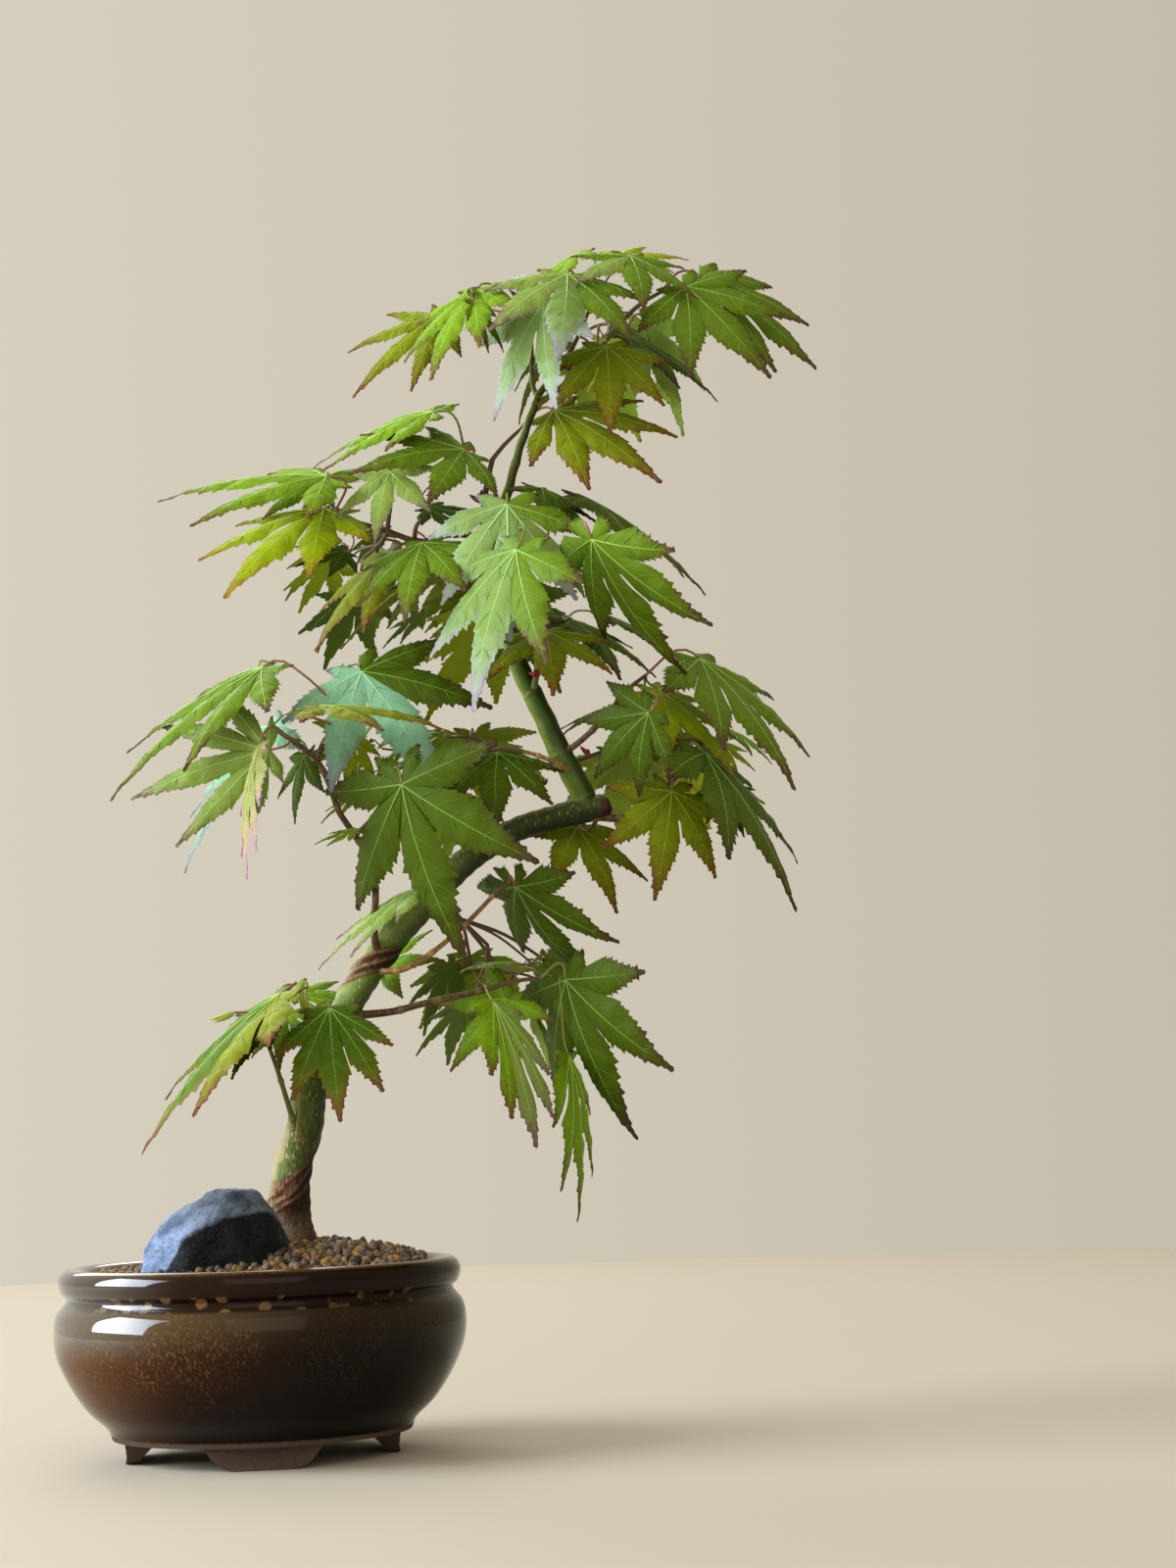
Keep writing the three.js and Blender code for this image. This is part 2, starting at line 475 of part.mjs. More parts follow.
// The bowl's section from the underside out, over the lip and down the inside
function bowlProfile() {
  const inside = BELLY_RADIUS - WALL;
  return [
    [0, FOOT_HEIGHT], [BASE_RADIUS, FOOT_HEIGHT], [BASE_RADIUS + 1.2, FOOT_HEIGHT + 3],
    [BASE_RADIUS + 7.5, FOOT_HEIGHT + 9], [BASE_RADIUS + 13, FOOT_HEIGHT + 17],
    [BELLY_RADIUS - 1, BELLY_HEIGHT - 7], [BELLY_RADIUS, BELLY_HEIGHT], [BELLY_RADIUS - 1, BELLY_HEIGHT + 6],
    [NECK_RADIUS, NECK_HEIGHT], [LIP_RADIUS - 0.8, NECK_HEIGHT + 2], [LIP_RADIUS, LIP_HEIGHT],
    [LIP_RADIUS - 1.5, RIM_HEIGHT - 0.8], [LIP_RADIUS - 4, RIM_HEIGHT], [MOUTH_RADIUS + 1, RIM_HEIGHT - 1.5],
    [MOUTH_RADIUS, RIM_HEIGHT - 5], [MOUTH_RADIUS, NECK_HEIGHT], [inside, BELLY_HEIGHT],
    [inside - 6, FOOT_HEIGHT + 17], [BASE_RADIUS - 4, FOOT_HEIGHT + 6.5], [0, FOOT_HEIGHT + 6],
  ];
}

function lathe(profile) {
  const turned = new THREE.LatheGeometry(profile.map(([r, z]) => new THREE.Vector2(r, z)), SIDES);
  turned.rotateX(Math.PI / 2);
  return turned;
}

// A foot with a cloud outline, its outer face sloping in and its inner face hollowed to a flat sole
function foot(turn) {
  const [top, sole] = [FOOT_TOP_WIDTH / 2, FOOT_SOLE_WIDTH / 2];
  const shape = new THREE.Shape();
  shape.moveTo(-top, FOOT_HEIGHT + FOOT_SUNK);
  shape.lineTo(-top, FOOT_HEIGHT - 0.5);
  shape.bezierCurveTo(-top + 1.5, FOOT_HEIGHT * 0.5, -sole - 4.5, 0, -sole, 0);
  shape.lineTo(sole, 0);
  shape.bezierCurveTo(sole + 4.5, 0, top - 1.5, FOOT_HEIGHT * 0.5, top, FOOT_HEIGHT - 0.5);
  shape.lineTo(top, FOOT_HEIGHT + FOOT_SUNK);
  const depth = FOOT_OUTER - FOOT_INNER;
  const block = new THREE.ExtrudeGeometry(shape, { depth, bevelEnabled: false, curveSegments: 4 });
  block.rotateX(Math.PI / 2);
  block.translate(0, FOOT_OUTER, 0);
  const place = block.attributes.position;
  for (let i = 0; i < place.count; i++) {
    const [x, y, z] = [place.getX(i), place.getY(i), place.getZ(i)];
    const low = THREE.MathUtils.clamp(1 - z / FOOT_HEIGHT, 0, 1);
    if (y < FOOT_INNER + depth / 2) {
      place.setY(i, y + FOOT_HOLLOW * Math.sqrt(low));
      continue;
    }
    place.setY(i, Math.sqrt(Math.max(y * y - x * x, 1)) - FOOT_SLOPE * low);
  }
  block.rotateZ(rad(turn));
  return solid(block);
}

function pot() {
  let body = solid(lathe(bowlProfile()));
  for (let i = 0; i < 4; i++) {
    body = body.add(foot(POT_TURN + 90 * i));
  }
  return body;
}

// The height of the gravel at a place
function gravelHeight(x, y) {
  const away = Math.hypot(x - TRUNK_FOOT[0], y - TRUNK_FOOT[1]) - PATCH_RADIUS;
  const fall = THREE.MathUtils.smoothstep(away, 0, MOUND_RADIUS);
  return THREE.MathUtils.lerp(GROUND - GAP, GRAVEL_EDGE, fall);
}

function gravel() {
  const wall = bowlProfile().slice(-5).reverse().map(([r, z], i) => [i === 0 ? 0 : r - GAP, z + GAP]);
  const edge = MOUTH_RADIUS - GAP;
  const rings = [1, 0.75, 0.5, 0.25, 0].map((share) => [edge * share, GRAVEL_EDGE]);
  const turned = lathe([...wall, ...rings]);
  const place = turned.attributes.position;
  for (let i = 0; i < place.count; i++) {
    if (place.getZ(i) > GRAVEL_EDGE - 0.01) {
      place.setZ(i, gravelHeight(place.getX(i), place.getY(i)));
    }
  }
  return solid(turned);
}

function rock(extra = 0) {
  let body = solid(new THREE.SphereGeometry(34, 24, 12)).translate(ROCK_AT);
  for (const [x, y, z, distance] of ROCK_FACETS) {
    const out = new THREE.Vector3(x, y, z).normalize();
    const reach = out.dot(vec(ROCK_AT)) + distance + extra;
    body = body.trimByPlane(out.clone().negate().toArray(), -reach);
  }
  return body;
}

const plant = new THREE.Group();
const stone = rock();
plant.add(mesh("pot", pot(), 0x3a2410, 0.25));
plant.add(mesh("gravel", gravel().subtract(rock(GAP)), 0x8d7350, 0.9));
plant.add(mesh("rock", stone, 0x3d424b, 0.7));

// Each limb stops short of the ones before it, and the trunk stands flat on the gravel
let wood = [];
for (const { name, colour, sides, steps, stations } of LIMBS) {
  let body = limb(stations, steps, sides).trimByPlane([0, 0, 1], GROUND);
  for (const other of wood) {
    body = body.subtract(other);
  }
  plant.add(mesh(name, largest(body.simplify(FINEST)), colour, 0.75));
  wood.push(limb(stations, steps, sides, GAP));
}
wood = wasm.Manifold.union(wood);

const taken = MASSES.flatMap((mass) => mass.leaves.flatMap(bladePlaces));
for (const mass of MASSES) {
  const parts = [limb(mass.stem.map((p) => [...p, STEM_RADIUS]), 2, 4)];
  for (const leaf of mass.leaves) {
    parts.push(petiole(leaf, mass.stem), blade(leaf));
  }
  for (const { root, end, leaves } of mass.grow ? growLeaves(mass, taken) : []) {
    const bend = [0, 1, 2].map((k) => (root[k] + end[k]) / 2 + (k === 2 ? 2 : 0));
    parts.push(limb([root, bend, end].map((p) => [...p, TWIG_RADIUS]), 2, 3));
    for (const leaf of leaves) {
      parts.push(petiole(leaf, [bend, end]), blade(leaf));
    }
  }
  const body = wasm.Manifold.union(parts).subtract(wood);
  plant.add(mesh(mass.name, largest(body.simplify(FINEST)), mass.tint, 0.6));
}

// The model's zero is under the middle of its box
const box = new THREE.Box3().setFromObject(plant);
const middle = box.getCenter(new THREE.Vector3());
plant.position.set(-middle.x, -middle.y, -box.min.z);
plant.updateMatrixWorld(true);

export default plant;
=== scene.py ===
"""A small leaning maple bonsai in a glazed bowl: bark, leaves, gravel, rock and glaze."""

import math

import bmesh
import bpy
import numpy as np
from bpy.props import FloatProperty, FloatVectorProperty, IntProperty, PointerProperty
from mathutils import Matrix, Vector, noise


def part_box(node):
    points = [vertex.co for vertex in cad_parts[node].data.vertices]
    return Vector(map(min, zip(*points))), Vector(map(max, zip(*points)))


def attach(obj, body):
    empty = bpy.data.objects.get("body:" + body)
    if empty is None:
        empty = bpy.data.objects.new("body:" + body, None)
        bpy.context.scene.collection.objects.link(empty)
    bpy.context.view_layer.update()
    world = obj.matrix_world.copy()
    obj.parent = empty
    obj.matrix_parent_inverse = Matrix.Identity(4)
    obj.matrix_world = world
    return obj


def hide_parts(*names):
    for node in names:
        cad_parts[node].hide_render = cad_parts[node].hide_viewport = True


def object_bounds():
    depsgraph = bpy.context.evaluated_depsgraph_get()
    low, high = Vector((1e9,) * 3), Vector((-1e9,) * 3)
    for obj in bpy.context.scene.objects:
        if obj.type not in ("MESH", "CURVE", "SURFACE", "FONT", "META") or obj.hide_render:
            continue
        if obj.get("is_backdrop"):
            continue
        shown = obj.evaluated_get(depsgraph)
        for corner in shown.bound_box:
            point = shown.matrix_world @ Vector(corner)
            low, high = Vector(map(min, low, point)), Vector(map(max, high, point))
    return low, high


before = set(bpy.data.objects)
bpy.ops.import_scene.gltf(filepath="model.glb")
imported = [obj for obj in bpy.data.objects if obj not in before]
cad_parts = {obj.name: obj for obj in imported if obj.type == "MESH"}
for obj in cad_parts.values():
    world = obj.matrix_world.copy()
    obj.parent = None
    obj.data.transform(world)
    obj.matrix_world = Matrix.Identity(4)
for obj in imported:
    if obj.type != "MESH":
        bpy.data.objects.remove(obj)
CAD_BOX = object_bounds()

bl_info = {
    "name": "Maple bonsai in a bowl",
    "version": (1, 0, 0),
    "blender": (4, 5, 0),
    "location": "3D View > Sidebar > Bonsai",
    "description": "Makes the bonsai's bowl, gravel, rock, bark, leaves and stage",
    "category": "Object",
}

# Shapes are in millimetres from the bowl's axis on the ground: X right, Y back, Z up
MM = 0.001
POT_LOW, POT_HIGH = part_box("pot")
AXIS = np.array([(POT_LOW[0] + POT_HIGH[0]) / 2, (POT_LOW[1] + POT_HIGH[1]) / 2, 0]) / MM

# The bowl's section from the underside out, over the lip and down the inside: radius and height
BOWL = [(0, 7), (47, 7), (48.2, 10), (54.5, 16), (60, 24), (64, 33), (65, 40), (64, 46), (60.8, 50.5),
        (62.7, 52.5), (63.5, 56.5), (62, 59.2), (59.5, 60), (55.5, 58.5), (54.5, 55), (54.5, 50.5),
        (59, 40), (53, 24), (43, 13.5), (0, 13)]
BOWL_STEPS, BOWL_SIDES = 110, 128
# A foot: its width at the top and the sole, how far from the axis its faces lie, its height, and how far
# the outer face slopes in and the inner one is hollowed
FOOT_TOP, FOOT_SOLE, FOOT_INNER, FOOT_OUTER, FOOT_HEIGHT = 35, 17, 30, 46, 7
FOOT_SLOPE, FOOT_HOLLOW = 2.5, 8.5
# How far round the feet stand, in degrees
POT_TURN = 7

# The gravel is level round the trunk's foot and falls from there to the rim
GRAVEL_TOP, GRAVEL_EDGE = 64.1, 56.5
TRUNK_FOOT = (10, 5)
PATCH, MOUND = 12, 46
# The granules' bed: its radius, its rings and their sides, and how near the trunk and the rock it goes
BED, BED_RINGS, BED_SIDES = 52.6, 27, 60
TRUNK_ROOM, ROCK_ROOM = 7.4, -0.8
FEWEST_FACES = 10000
GRANULE_TONES = ("5e4829", "6d522a", "503c24", "866b40", "473c31", "644e36", "38302a", "745845", "8e6326")

ROCK_AT = (-11, -19, 68.5)
# The rock's faces: the way each one looks, and how far from the rock's middle it lies
ROCK_FACETS = [
    (-1, 0.1, 0.05, 23), (-0.8, 0.1, 0.6, 16.6), (-0.48, 0.05, 0.88, 13.8), (0.05, 0.1, 1, 15.2),
    (0.81, 0, 0.59, 18.6), (0.96, 0.1, 0.29, 20.6), (0.15, -1, 0.1, 14), (-0.35, -0.6, 0.72, 12.6),
    (0.45, -0.75, 0.4, 13.4), (0.1, 1, 0.15, 12.5), (-0.1, 0.7, 0.7, 13), (-0.65, -0.72, 0.1, 17),
    (0.8, -0.5, 0.1, 18), (0, 0, -1, 12)]
# How sharp the edges between them are, and how many pits the rock has
ROCK_SHARP, ROCK_PITS = 26, 22

# Rows and sides of the limbs' meshes
TRUNK_GRID, LEADER_GRID, BOUGH_GRID = (460, 72), (300, 32), (70, 12)
# The limbs: stations along each one as x, y, z and radius
LIMBS = [
    ("trunk", [
        (10, 5, 56, 9), (10, 5, 65, 7.6), (9, 5, 73, 6.6), (10, 4, 87, 6.2), (12, 3, 95, 5.8),
        (15, 2, 103, 5.8), (17, 0, 114, 5.3), (20, -1, 124, 4.9), (26, -1, 134, 4.8), (33, 0, 146, 4.8),
        (42, 2, 159, 5), (51, 2, 169, 4.9), (60, 1, 178, 4.7), (68, 0, 185, 4.4), (77, 0, 191, 4.1),
        (87, 0, 196, 3.9), (98, 0, 199, 3.9), (107, 0, 201, 4.3), (114, 0, 202, 4)]),
    ("leader", [
        (109, 0, 201, 3.8), (106, 0, 209, 3.9), (100, 0, 221, 3.7), (96, 1, 231, 3.4), (92, 2, 240, 3.3),
        (88, 2, 249, 3.2), (85, 2, 259, 2.9), (83, 2, 269, 2.6), (82, 2, 279, 2.3), (82, 2, 289, 2),
        (83, 2, 299, 1.8), (86, 1, 308, 1.6), (90, 0, 321, 1.4), (94, 0, 332, 1.3), (98, 0, 341, 1.1),
        (104, 0, 348, 0.9)]),
    ("bough_left_middle", [
        (40, 0, 154, 1.4), (39, -6, 164, 1.2), (40, -9, 177, 1.1), (38, -10, 187, 1.1),
        (34, -10, 194, 1), (29, -10, 202, 1), (26, -9, 211, 1), (22, -9, 219, 0.9), (14, -9, 226, 0.8)]),
    ("bough_lower_right", [
        (31, 0, 137, 1.4), (44, 1, 138, 1.2), (53, 1, 140, 1.1), (64, 0, 142, 1), (75, -1, 144, 0.9)]),
    ("bough_red", [
        (37, 0, 151, 1.1), (48, -6, 151, 1), (56, -7, 155, 0.9), (63, -8, 160, 0.8), (70, -8, 166, 0.8),
        (78, -8, 174, 0.7)]),
    ("shoot_lower_left", [
        (12, -2, 102, 0.9), (9, -8, 115, 0.8), (7, -9, 122, 0.7), (4, -8, 130, 0.6)]),
    ("shoot_lower_front", [
        (13, -3, 98, 0.9), (15, -10, 111, 0.8), (16, -13, 123, 0.7), (17, -11, 136, 0.7)]),
    ("bough_elbow", [
        (111, 0, 199, 1.4), (120, -2, 198, 1.2), (127, -2, 203, 1.1), (136, -2, 209, 0.9)]),
    ("bough_right_middle", [
        (100, 0, 219, 1.2), (107, -4, 223, 1), (116, -6, 231, 0.9), (120, -6, 236, 0.8)]),
    ("shoot_leader", [
        (92, 1, 240, 1.1), (94, -5, 248, 0.9), (93, -7, 256, 0.8), (92, -8, 262, 0.7)]),
    ("shoot_leader_foot", [
        (104, 0, 213, 1), (101, -6, 215, 0.8), (94, -8, 218, 0.7), (88, -8, 220, 0.6)]),
    ("bough_upper_left", [
        (82, 2, 287, 1.4), (76, -1, 292, 1.2), (67, -3, 293, 1.1), (57, -3, 291, 1), (46, -2, 295, 0.9),
        (35, 0, 299, 0.9)]),
    ("shoot_side", [
        (82, 2, 294, 1.3), (78, 5, 302, 1.2), (79, 6, 312, 1), (81, 6, 320, 0.9)]),
    ("shoot_apex", [
        (97, 0, 338, 0.9), (95, 4, 345, 0.8), (95, 5, 352, 0.7)]),
    ("bough_top_right", [
        (96, 0, 336, 1), (106, 6, 345, 0.9), (117, 7, 356, 0.8), (126, 5, 366, 0.7)]),
]

# A leaf: the place of its heart, the heading, dip and roll of its middle lobe, its length, the spread
# and width of its lobes, the tint of the whole leaf or of each lobe, and the root of a petiole that
# doesn't start at the mass's own stem
# A mass: its node, its stem, its leaves and, for one that grows by rule, the seed, the count and the
# middle and reach of its space
MASSES = [
    ("top_centre", [(104, 0, 348), (110, 1, 358), (116, 3, 372)], [
        (108, -14, 376, 265, 38, -8, 47, 0.88, 1, "ppmgg"),
        (100, -17, 366, 155, 50, -70, 42, 1.1, 1, "w"),
        (112, 10, 391, 205, 30, -10, 28, 0.9, 1, "f"),
        (129, -6, 384, 280, 35, -5, 33, 1.2, 1, "gpggg"),
        (125, 16, 391, 10, -14, 35, 25, 1.16, 1, "y")]),
    ("top_right", [(126, 5, 366), (132, 1, 370), (139, -2, 373)], [
        (147, -6, 373, 330, 42, 44, 42, 1, 1, "g"),
        (153, 6, 380, 358, 31, 51, 48, 0.55, 1, "g")]),
    ("top_left", [(95, 5, 352), (95, 6, 360), (94, 6, 368)], [
        (78, -8, 374, 229, 42, -5, 40, 0.73, 1, "f"),
        (77, -15, 368, 40, 35, 65, 21, 1, 1, "g"),
        (64, 8, 370, 200, 33, -39, 39, 0.88, 0.7, "o")]),
    ("top_under", [(104, 2, 349), (110, 6, 352), (116, 8, 355)], [
        (120, -2, 355, 270, 50, 0, 37, 0.88, 1, "o"),
        (129, 14, 362, 0, 25, 25, 35, 1, 1, "d")]),
    ("upper_middle", [(81, 6, 320), (85, 7, 325), (90, 8, 330)], [
        (102, 6, 336, 315, 25, 35, 50, 0.7, 0.85, "o")]),
    ("upper_left_back", [(79, 6, 313), (76, 5, 318), (72, 4, 322)], [
        (62, -4, 334, 159, 2, -28, 49, 0.92, 0.8, "f"),
        (72, -4, 321, 215, 5, -40, 41, 1.1, 1, "g"),
        (59, 4, 304, 350, 10, 30, 22, 1, 1, "d")]),
    ("upper_left_tip", [(35, 0, 299), (31, 2, 302), (27, 4, 306)], [
        (27, -6, 313, 170, -10, -25, 59, 1.2, 0.8, "f"),
        (23, 14, 316, 180, 0, -40, 29, 1, 1, "f"),
        (25, 5, 305, 230, 25, -15, 53, 0.8, 1, "y"),
        (31, 12, 292, 225, 10, -40, 20, 0.9, 1, "d")]),
    ("upper_left_front", [(46, -2, 295), (47, -6, 299), (48, -8, 303)], [
        (48, -10, 313, 245, 55, -5, 27, 1.2, 1, "p")]),
    ("upper_left_low", [(55, -4, 292), (56, -8, 295), (58, -10, 297)], [
        (58, -10, 289, 255, 40, 5, 37, 0.9, 1, "g")]),
    ("centre_front", [(83, 1, 296), (85, -5, 294), (87, -12, 291)], [
        (86, -18, 299, 268, 66, 0, 46, 0.85, 1, "wwwmg"),
        (89, -36, 280, 210, 60, -20, 52, 0.9, 1, "mmmgg")]),
    ("centre_right", [(82, 2, 285), (98, -6, 284), (110, -22, 284)], [
        (113, -39, 282, 227, 120, 12, 54, 0.9, 1, "g"),
        (113, 14, 307, 345, 30, 5, 51, 1, 1, "d"),
        (97, 4, 309, 320, 30, 0, 30, 1, 1, "d")]),
    ("centre_low", [(92, -8, 262), (97, -3, 263), (103, 2, 264)], [
        (106, 12, 266, 300, 25, -10, 40, 1, 1, "d"),
        (117, 26, 270, 0, 20, 10, 31, 1, 1, "d"),
        (97, -13, 258, 275, 30, 0, 36, 1, 1, "o")]),
    ("left_middle", [(14, -9, 226), (10, -6, 229), (7, -4, 232)], [
        (5, -8, 250, 200, 28, -14, 64, 0.82, 0.7, "g", (30, -9, 235)),
        (7, -14, 222, 174, 11, -77, 50, 0.76, 0.6, "p"),
        (4, 26, 236, 195, 45, -15, 56, 1, 0.6, "b", (30, -4, 234)),
        (6, -28, 222, 200, 70, 0, 42, 0.4, 1, "r"),
        (17, 2, 222, 215, 65, -5, 22, 1.2, 1, "d")]),
    ("left_front", [(22, -9, 219), (24, -10, 224), (28, -11, 230)], [
        (37, -6, 248, 315, 45, 40, 51, 1.1, 1, "bbbdd"),
        (26, -38, 232, 345, 0, 10, 44, 1, 1, "o"),
        (31, 16, 232, 285, 60, -35, 26, 1, 1, "v")]),
    ("big_leaf", [(34, -10, 194), (38, -15, 197), (43, -20, 201)], [
        (51, -34, 207, 190, 100, -45, 59, 1.2, 1, "d"),
        (34, -16, 195, 190, 5, 10, 13, 1, 1, "f")]),
    ("elbow", [(88, -8, 220), (83, -7, 221), (76, -5, 221)], [
        (80, 2, 221, 270, 30, 0, 39, 0.8, 1, "d"),
        (62, 2, 221, 235, 5, 0, 32, 1, 1, "d")]),
    ("right_middle", [(120, -6, 236), (124, -6, 240), (129, -4, 244)], [
        (129, -28, 228, 145, 34, -99, 33, 0.86, 1, "d"),
        (133, 1, 240, 330, 35, 10, 39, 1, 1, "y"),
        (123, 14, 238, 220, 10, 0, 30, 1, 1, "d"),
        (147, 3, 250, 325, 40, 5, 56, 0.8, 1, "g")]),
    ("right_low", [(136, -2, 209), (139, -4, 211), (142, -6, 213)], [
        (147, -10, 217, 338, 47, 5, 58, 0.94, 1, "d"),
        (136, -10, 205, 255, 65, -35, 36, 1, 1, "o"),
        (153, 6, 208, 300, 45, 10, 20, 1, 1, "d")]),
    ("under_elbow", [(112, 1, 199), (110, 6, 196), (108, 8, 195)], [
        (105, 14, 197, 310, 45, 5, 34, 1.1, 1, "o")]),
    ("lower_right_high", [(78, -8, 174), (81, -9, 176), (83, -9, 177)], [
        (85, -10, 176, 218, 121, 1, 45, 1.1, 1, "d")]),
    ("lower_right", [(75, -1, 144), (82, -2, 146), (92, -3, 147)], [
        (100, -6, 146, 190, 100, -29, 55, 1.03, 1, "d"),
        (80, 4, 141, 185, 45, -60, 29, 1.3, 1, "f"),
        (77, -20, 139, 312, 52, 0, 48, 0.3, 1, "ffppp"),
        (72, 4, 152, 325, -10, 5, 22, 1, 1, "f"),
        (100, 2, 122, 5, 75, 20, 52, 0.6, 0.75, "f", (98, -4, 147))]),
    ("lower_left", [(4, -8, 130), (3, -6, 134), (3, -4, 140)], [
        (10, -18, 144, 193, 34, -8, 64, 0.79, 1, "eeeoo"),
        (5, 4, 140, 193, 31, -24, 33, 0.76, 1, "d"),
        (8, 18, 139, 260, 40, 10, 22, 0.9, 1, "f"),
        (12, 14, 145, 12, -8, 35, 22, 0.85, 1, "f")]),
    ("lower_left_front", [(17, -11, 136), (18, -12, 138), (20, -13, 139)], [
        (25, -14, 139, 280, 45, 5, 41, 0.6, 1, "e")]),
    ("trunk_front", [(56, 0, 173), (56, -5, 176), (56, -8, 177)], [
        (53, -12, 176, 187, 24, -13, 39, 0.74, 0.8, "p")]),
    ("trunk_back", [(35, 2, 148), (38, 9, 150), (39, 12, 152)], [
        (39, 16, 154, 320, -10, 50, 24, 1.2, 1, "f")]),
    ("back_top", [(121, 6, 361), (122, 18, 368), (126, 28, 371)], [],
     (11, 3, (124, 44, 368), (52, 46, 40))),
    ("back_upper", [(82, 4, 276), (80, 16, 282), (77, 28, 286)], [],
     (23, 5, (78, 42, 280), (58, 52, 46))),
    ("back_left", [(46, 0, 295), (42, 14, 294), (36, 24, 292)], [
        (47, 8, 290, 189, 39, -27, 41, 0.92, 1, "o")],
     (31, 2, (44, 44, 290), (50, 48, 40))),
    ("back_middle", [(101, 3, 218), (88, 14, 216), (72, 24, 217)], [],
     (41, 4, (54, 44, 222), (54, 50, 44))),
    ("back_right", [(102, 2, 216), (114, 16, 222), (124, 26, 226)], [],
     (53, 4, (134, 42, 222), (52, 48, 44))),
    ("back_low", [(60, 3, 176), (66, 14, 168), (74, 22, 160)], [],
     (67, 4, (84, 42, 146), (50, 46, 42))),
]

# Tints from a lobe's heart to its edge, the underside and the ribs. The mint, pale and blue tints m, w and b
# are green paled by a painted sheen, the window's reflection; y is lime green partly painted with the glow of
# light through the leaf, and v is the painted glow of a backlit leaf
TINTS = {
    "g": ("63801a", "5c7711", "5c6a17", "584a24", "573c2e", "7a9034", "a3c763"),
    "m": ("758f42", "7f985c", "8c9c7c", "969898", "8b7d92", "7f9a62", "a6cf84"),
    "w": ("8aa85c", "94b076", "a0b496", "a8acaa", "998c9e", "8fae74", "bfe2a0"),
    "p": ("859c44", "7e9543", "7c8a4a", "7a6d52", "6d5450", "88a453", "b0d27c"),
    "f": ("749614", "6c8d12", "697d14", "675b24", "663f2a", "869f31", "a7cf55"),
    "y": ("93a60d", "8b9e0a", "8a950f", "8a7d18", "85591f", "a4b324", "bfd052"),
    "o": ("78840f", "70780d", "70690f", "6d4e1c", "623423", "8a922a", "a6b84c"),
    "d": ("4a600c", "475a0a", "48520e", "463f1d", "433024", "627a2f", "86af52"),
    "b": ("88bd98", "82b38e", "80a188", "849196", "857e9a", "90b08c", "b8dfb2"),
    "e": ("4c6b12", "52690f", "66691a", "705229", "683f2a", "627a2f", "9cc060"),
    "v": ("b9c41a", "b0bc14", "adb218", "a19322", "8f6224", "a4b02c", "d6de66"),
    "r": ("8f9a50", "a09a66", "ab917e", "ac8494", "94708c", "9a9a66", "bfc07e"),
}
# Those seven and one mixed for the side ribs
TONES = 8

# The five large lobes' turns and reaches, and the reach and the largest turn of the two small ones behind
LOBES = [(-82, 0.6), (-40, 0.85), (0, 1), (40, 0.85), (82, 0.6)]
REAR_REACH, REAR_MOST = 0.24, 158
# Half a lobe's width in shares of the leaf's length, and how it swells and narrows along the lobe
LOBE_HALF = 0.142
LOBE_WIDTH = np.array([
    (0, 0.3), (0.2, 0.66), (0.3, 0.86), (0.4, 0.98), (0.46, 1), (0.55, 0.91), (0.65, 0.73), (0.75, 0.52),
    (0.84, 0.33), (0.92, 0.18), (0.97, 0.08), (1, 0)])
# How deep the slits go, where rows of points lie across a lobe, and how far its line bows and sags
SLIT, ACROSS, BOW, SAG = 0.27, (0.45, 0.8), 0.035, 0.05
# How far a blade droops, how far its margins drop, and how far behind the heart its petiole comes up
DROOP, EDGE_DROP, NOTCH = 0.25, 0.03, 0.09
# Radii at the stations of a mass's stem, a grown twig and a finer one, and at a petiole's two ends
STEM, TWIG, FINE_TWIG, PETIOLE = (0.85, 0.75, 0.6), (0.7, 0.6, 0.5), (0.55, 0.45, 0.38), (0.5, 0.38)


def paint(tone):
    """A colour from its six hex digits, made linear."""
    parts = [int(tone[i:i + 2], 16) / 255 for i in (0, 2, 4)]
    return tuple(v / 12.92 if v < 0.04045 else ((v + 0.055) / 1.055) ** 2.4 for v in parts) + (1.0,)


def smooth(value, start, end):
    share = np.clip((value - start) / (end - start), 0, 1)
    return share * share * (3 - 2 * share)


def unit(vector):
    return vector / np.linalg.norm(vector)


def lengths(places):
    """How far along their path the places lie."""
    return np.concatenate([[0], np.cumsum(np.linalg.norm(np.diff(places[:, :3], axis=0), axis=1))])


def rock_facets():
    """The ways that the rock's faces look, and how far from its middle they lie."""
    facets = np.array([(*unit(np.array(f[:3])), f[3]) for f in ROCK_FACETS])
    return facets[:, :3], facets[:, 3]


def placed(name, data):
    """A new object in the scene."""
    item = bpy.data.objects.new(name, data)
    bpy.context.scene.collection.objects.link(item)
    return item


class Draws:
    """The same run of random numbers from 0 to 1 each time."""

    def __init__(self, seed):
        self.state = seed

    def __call__(self):
        self.state = (self.state * 1664525 + 1013904223) % 4294967296
        return self.state / 4294967296


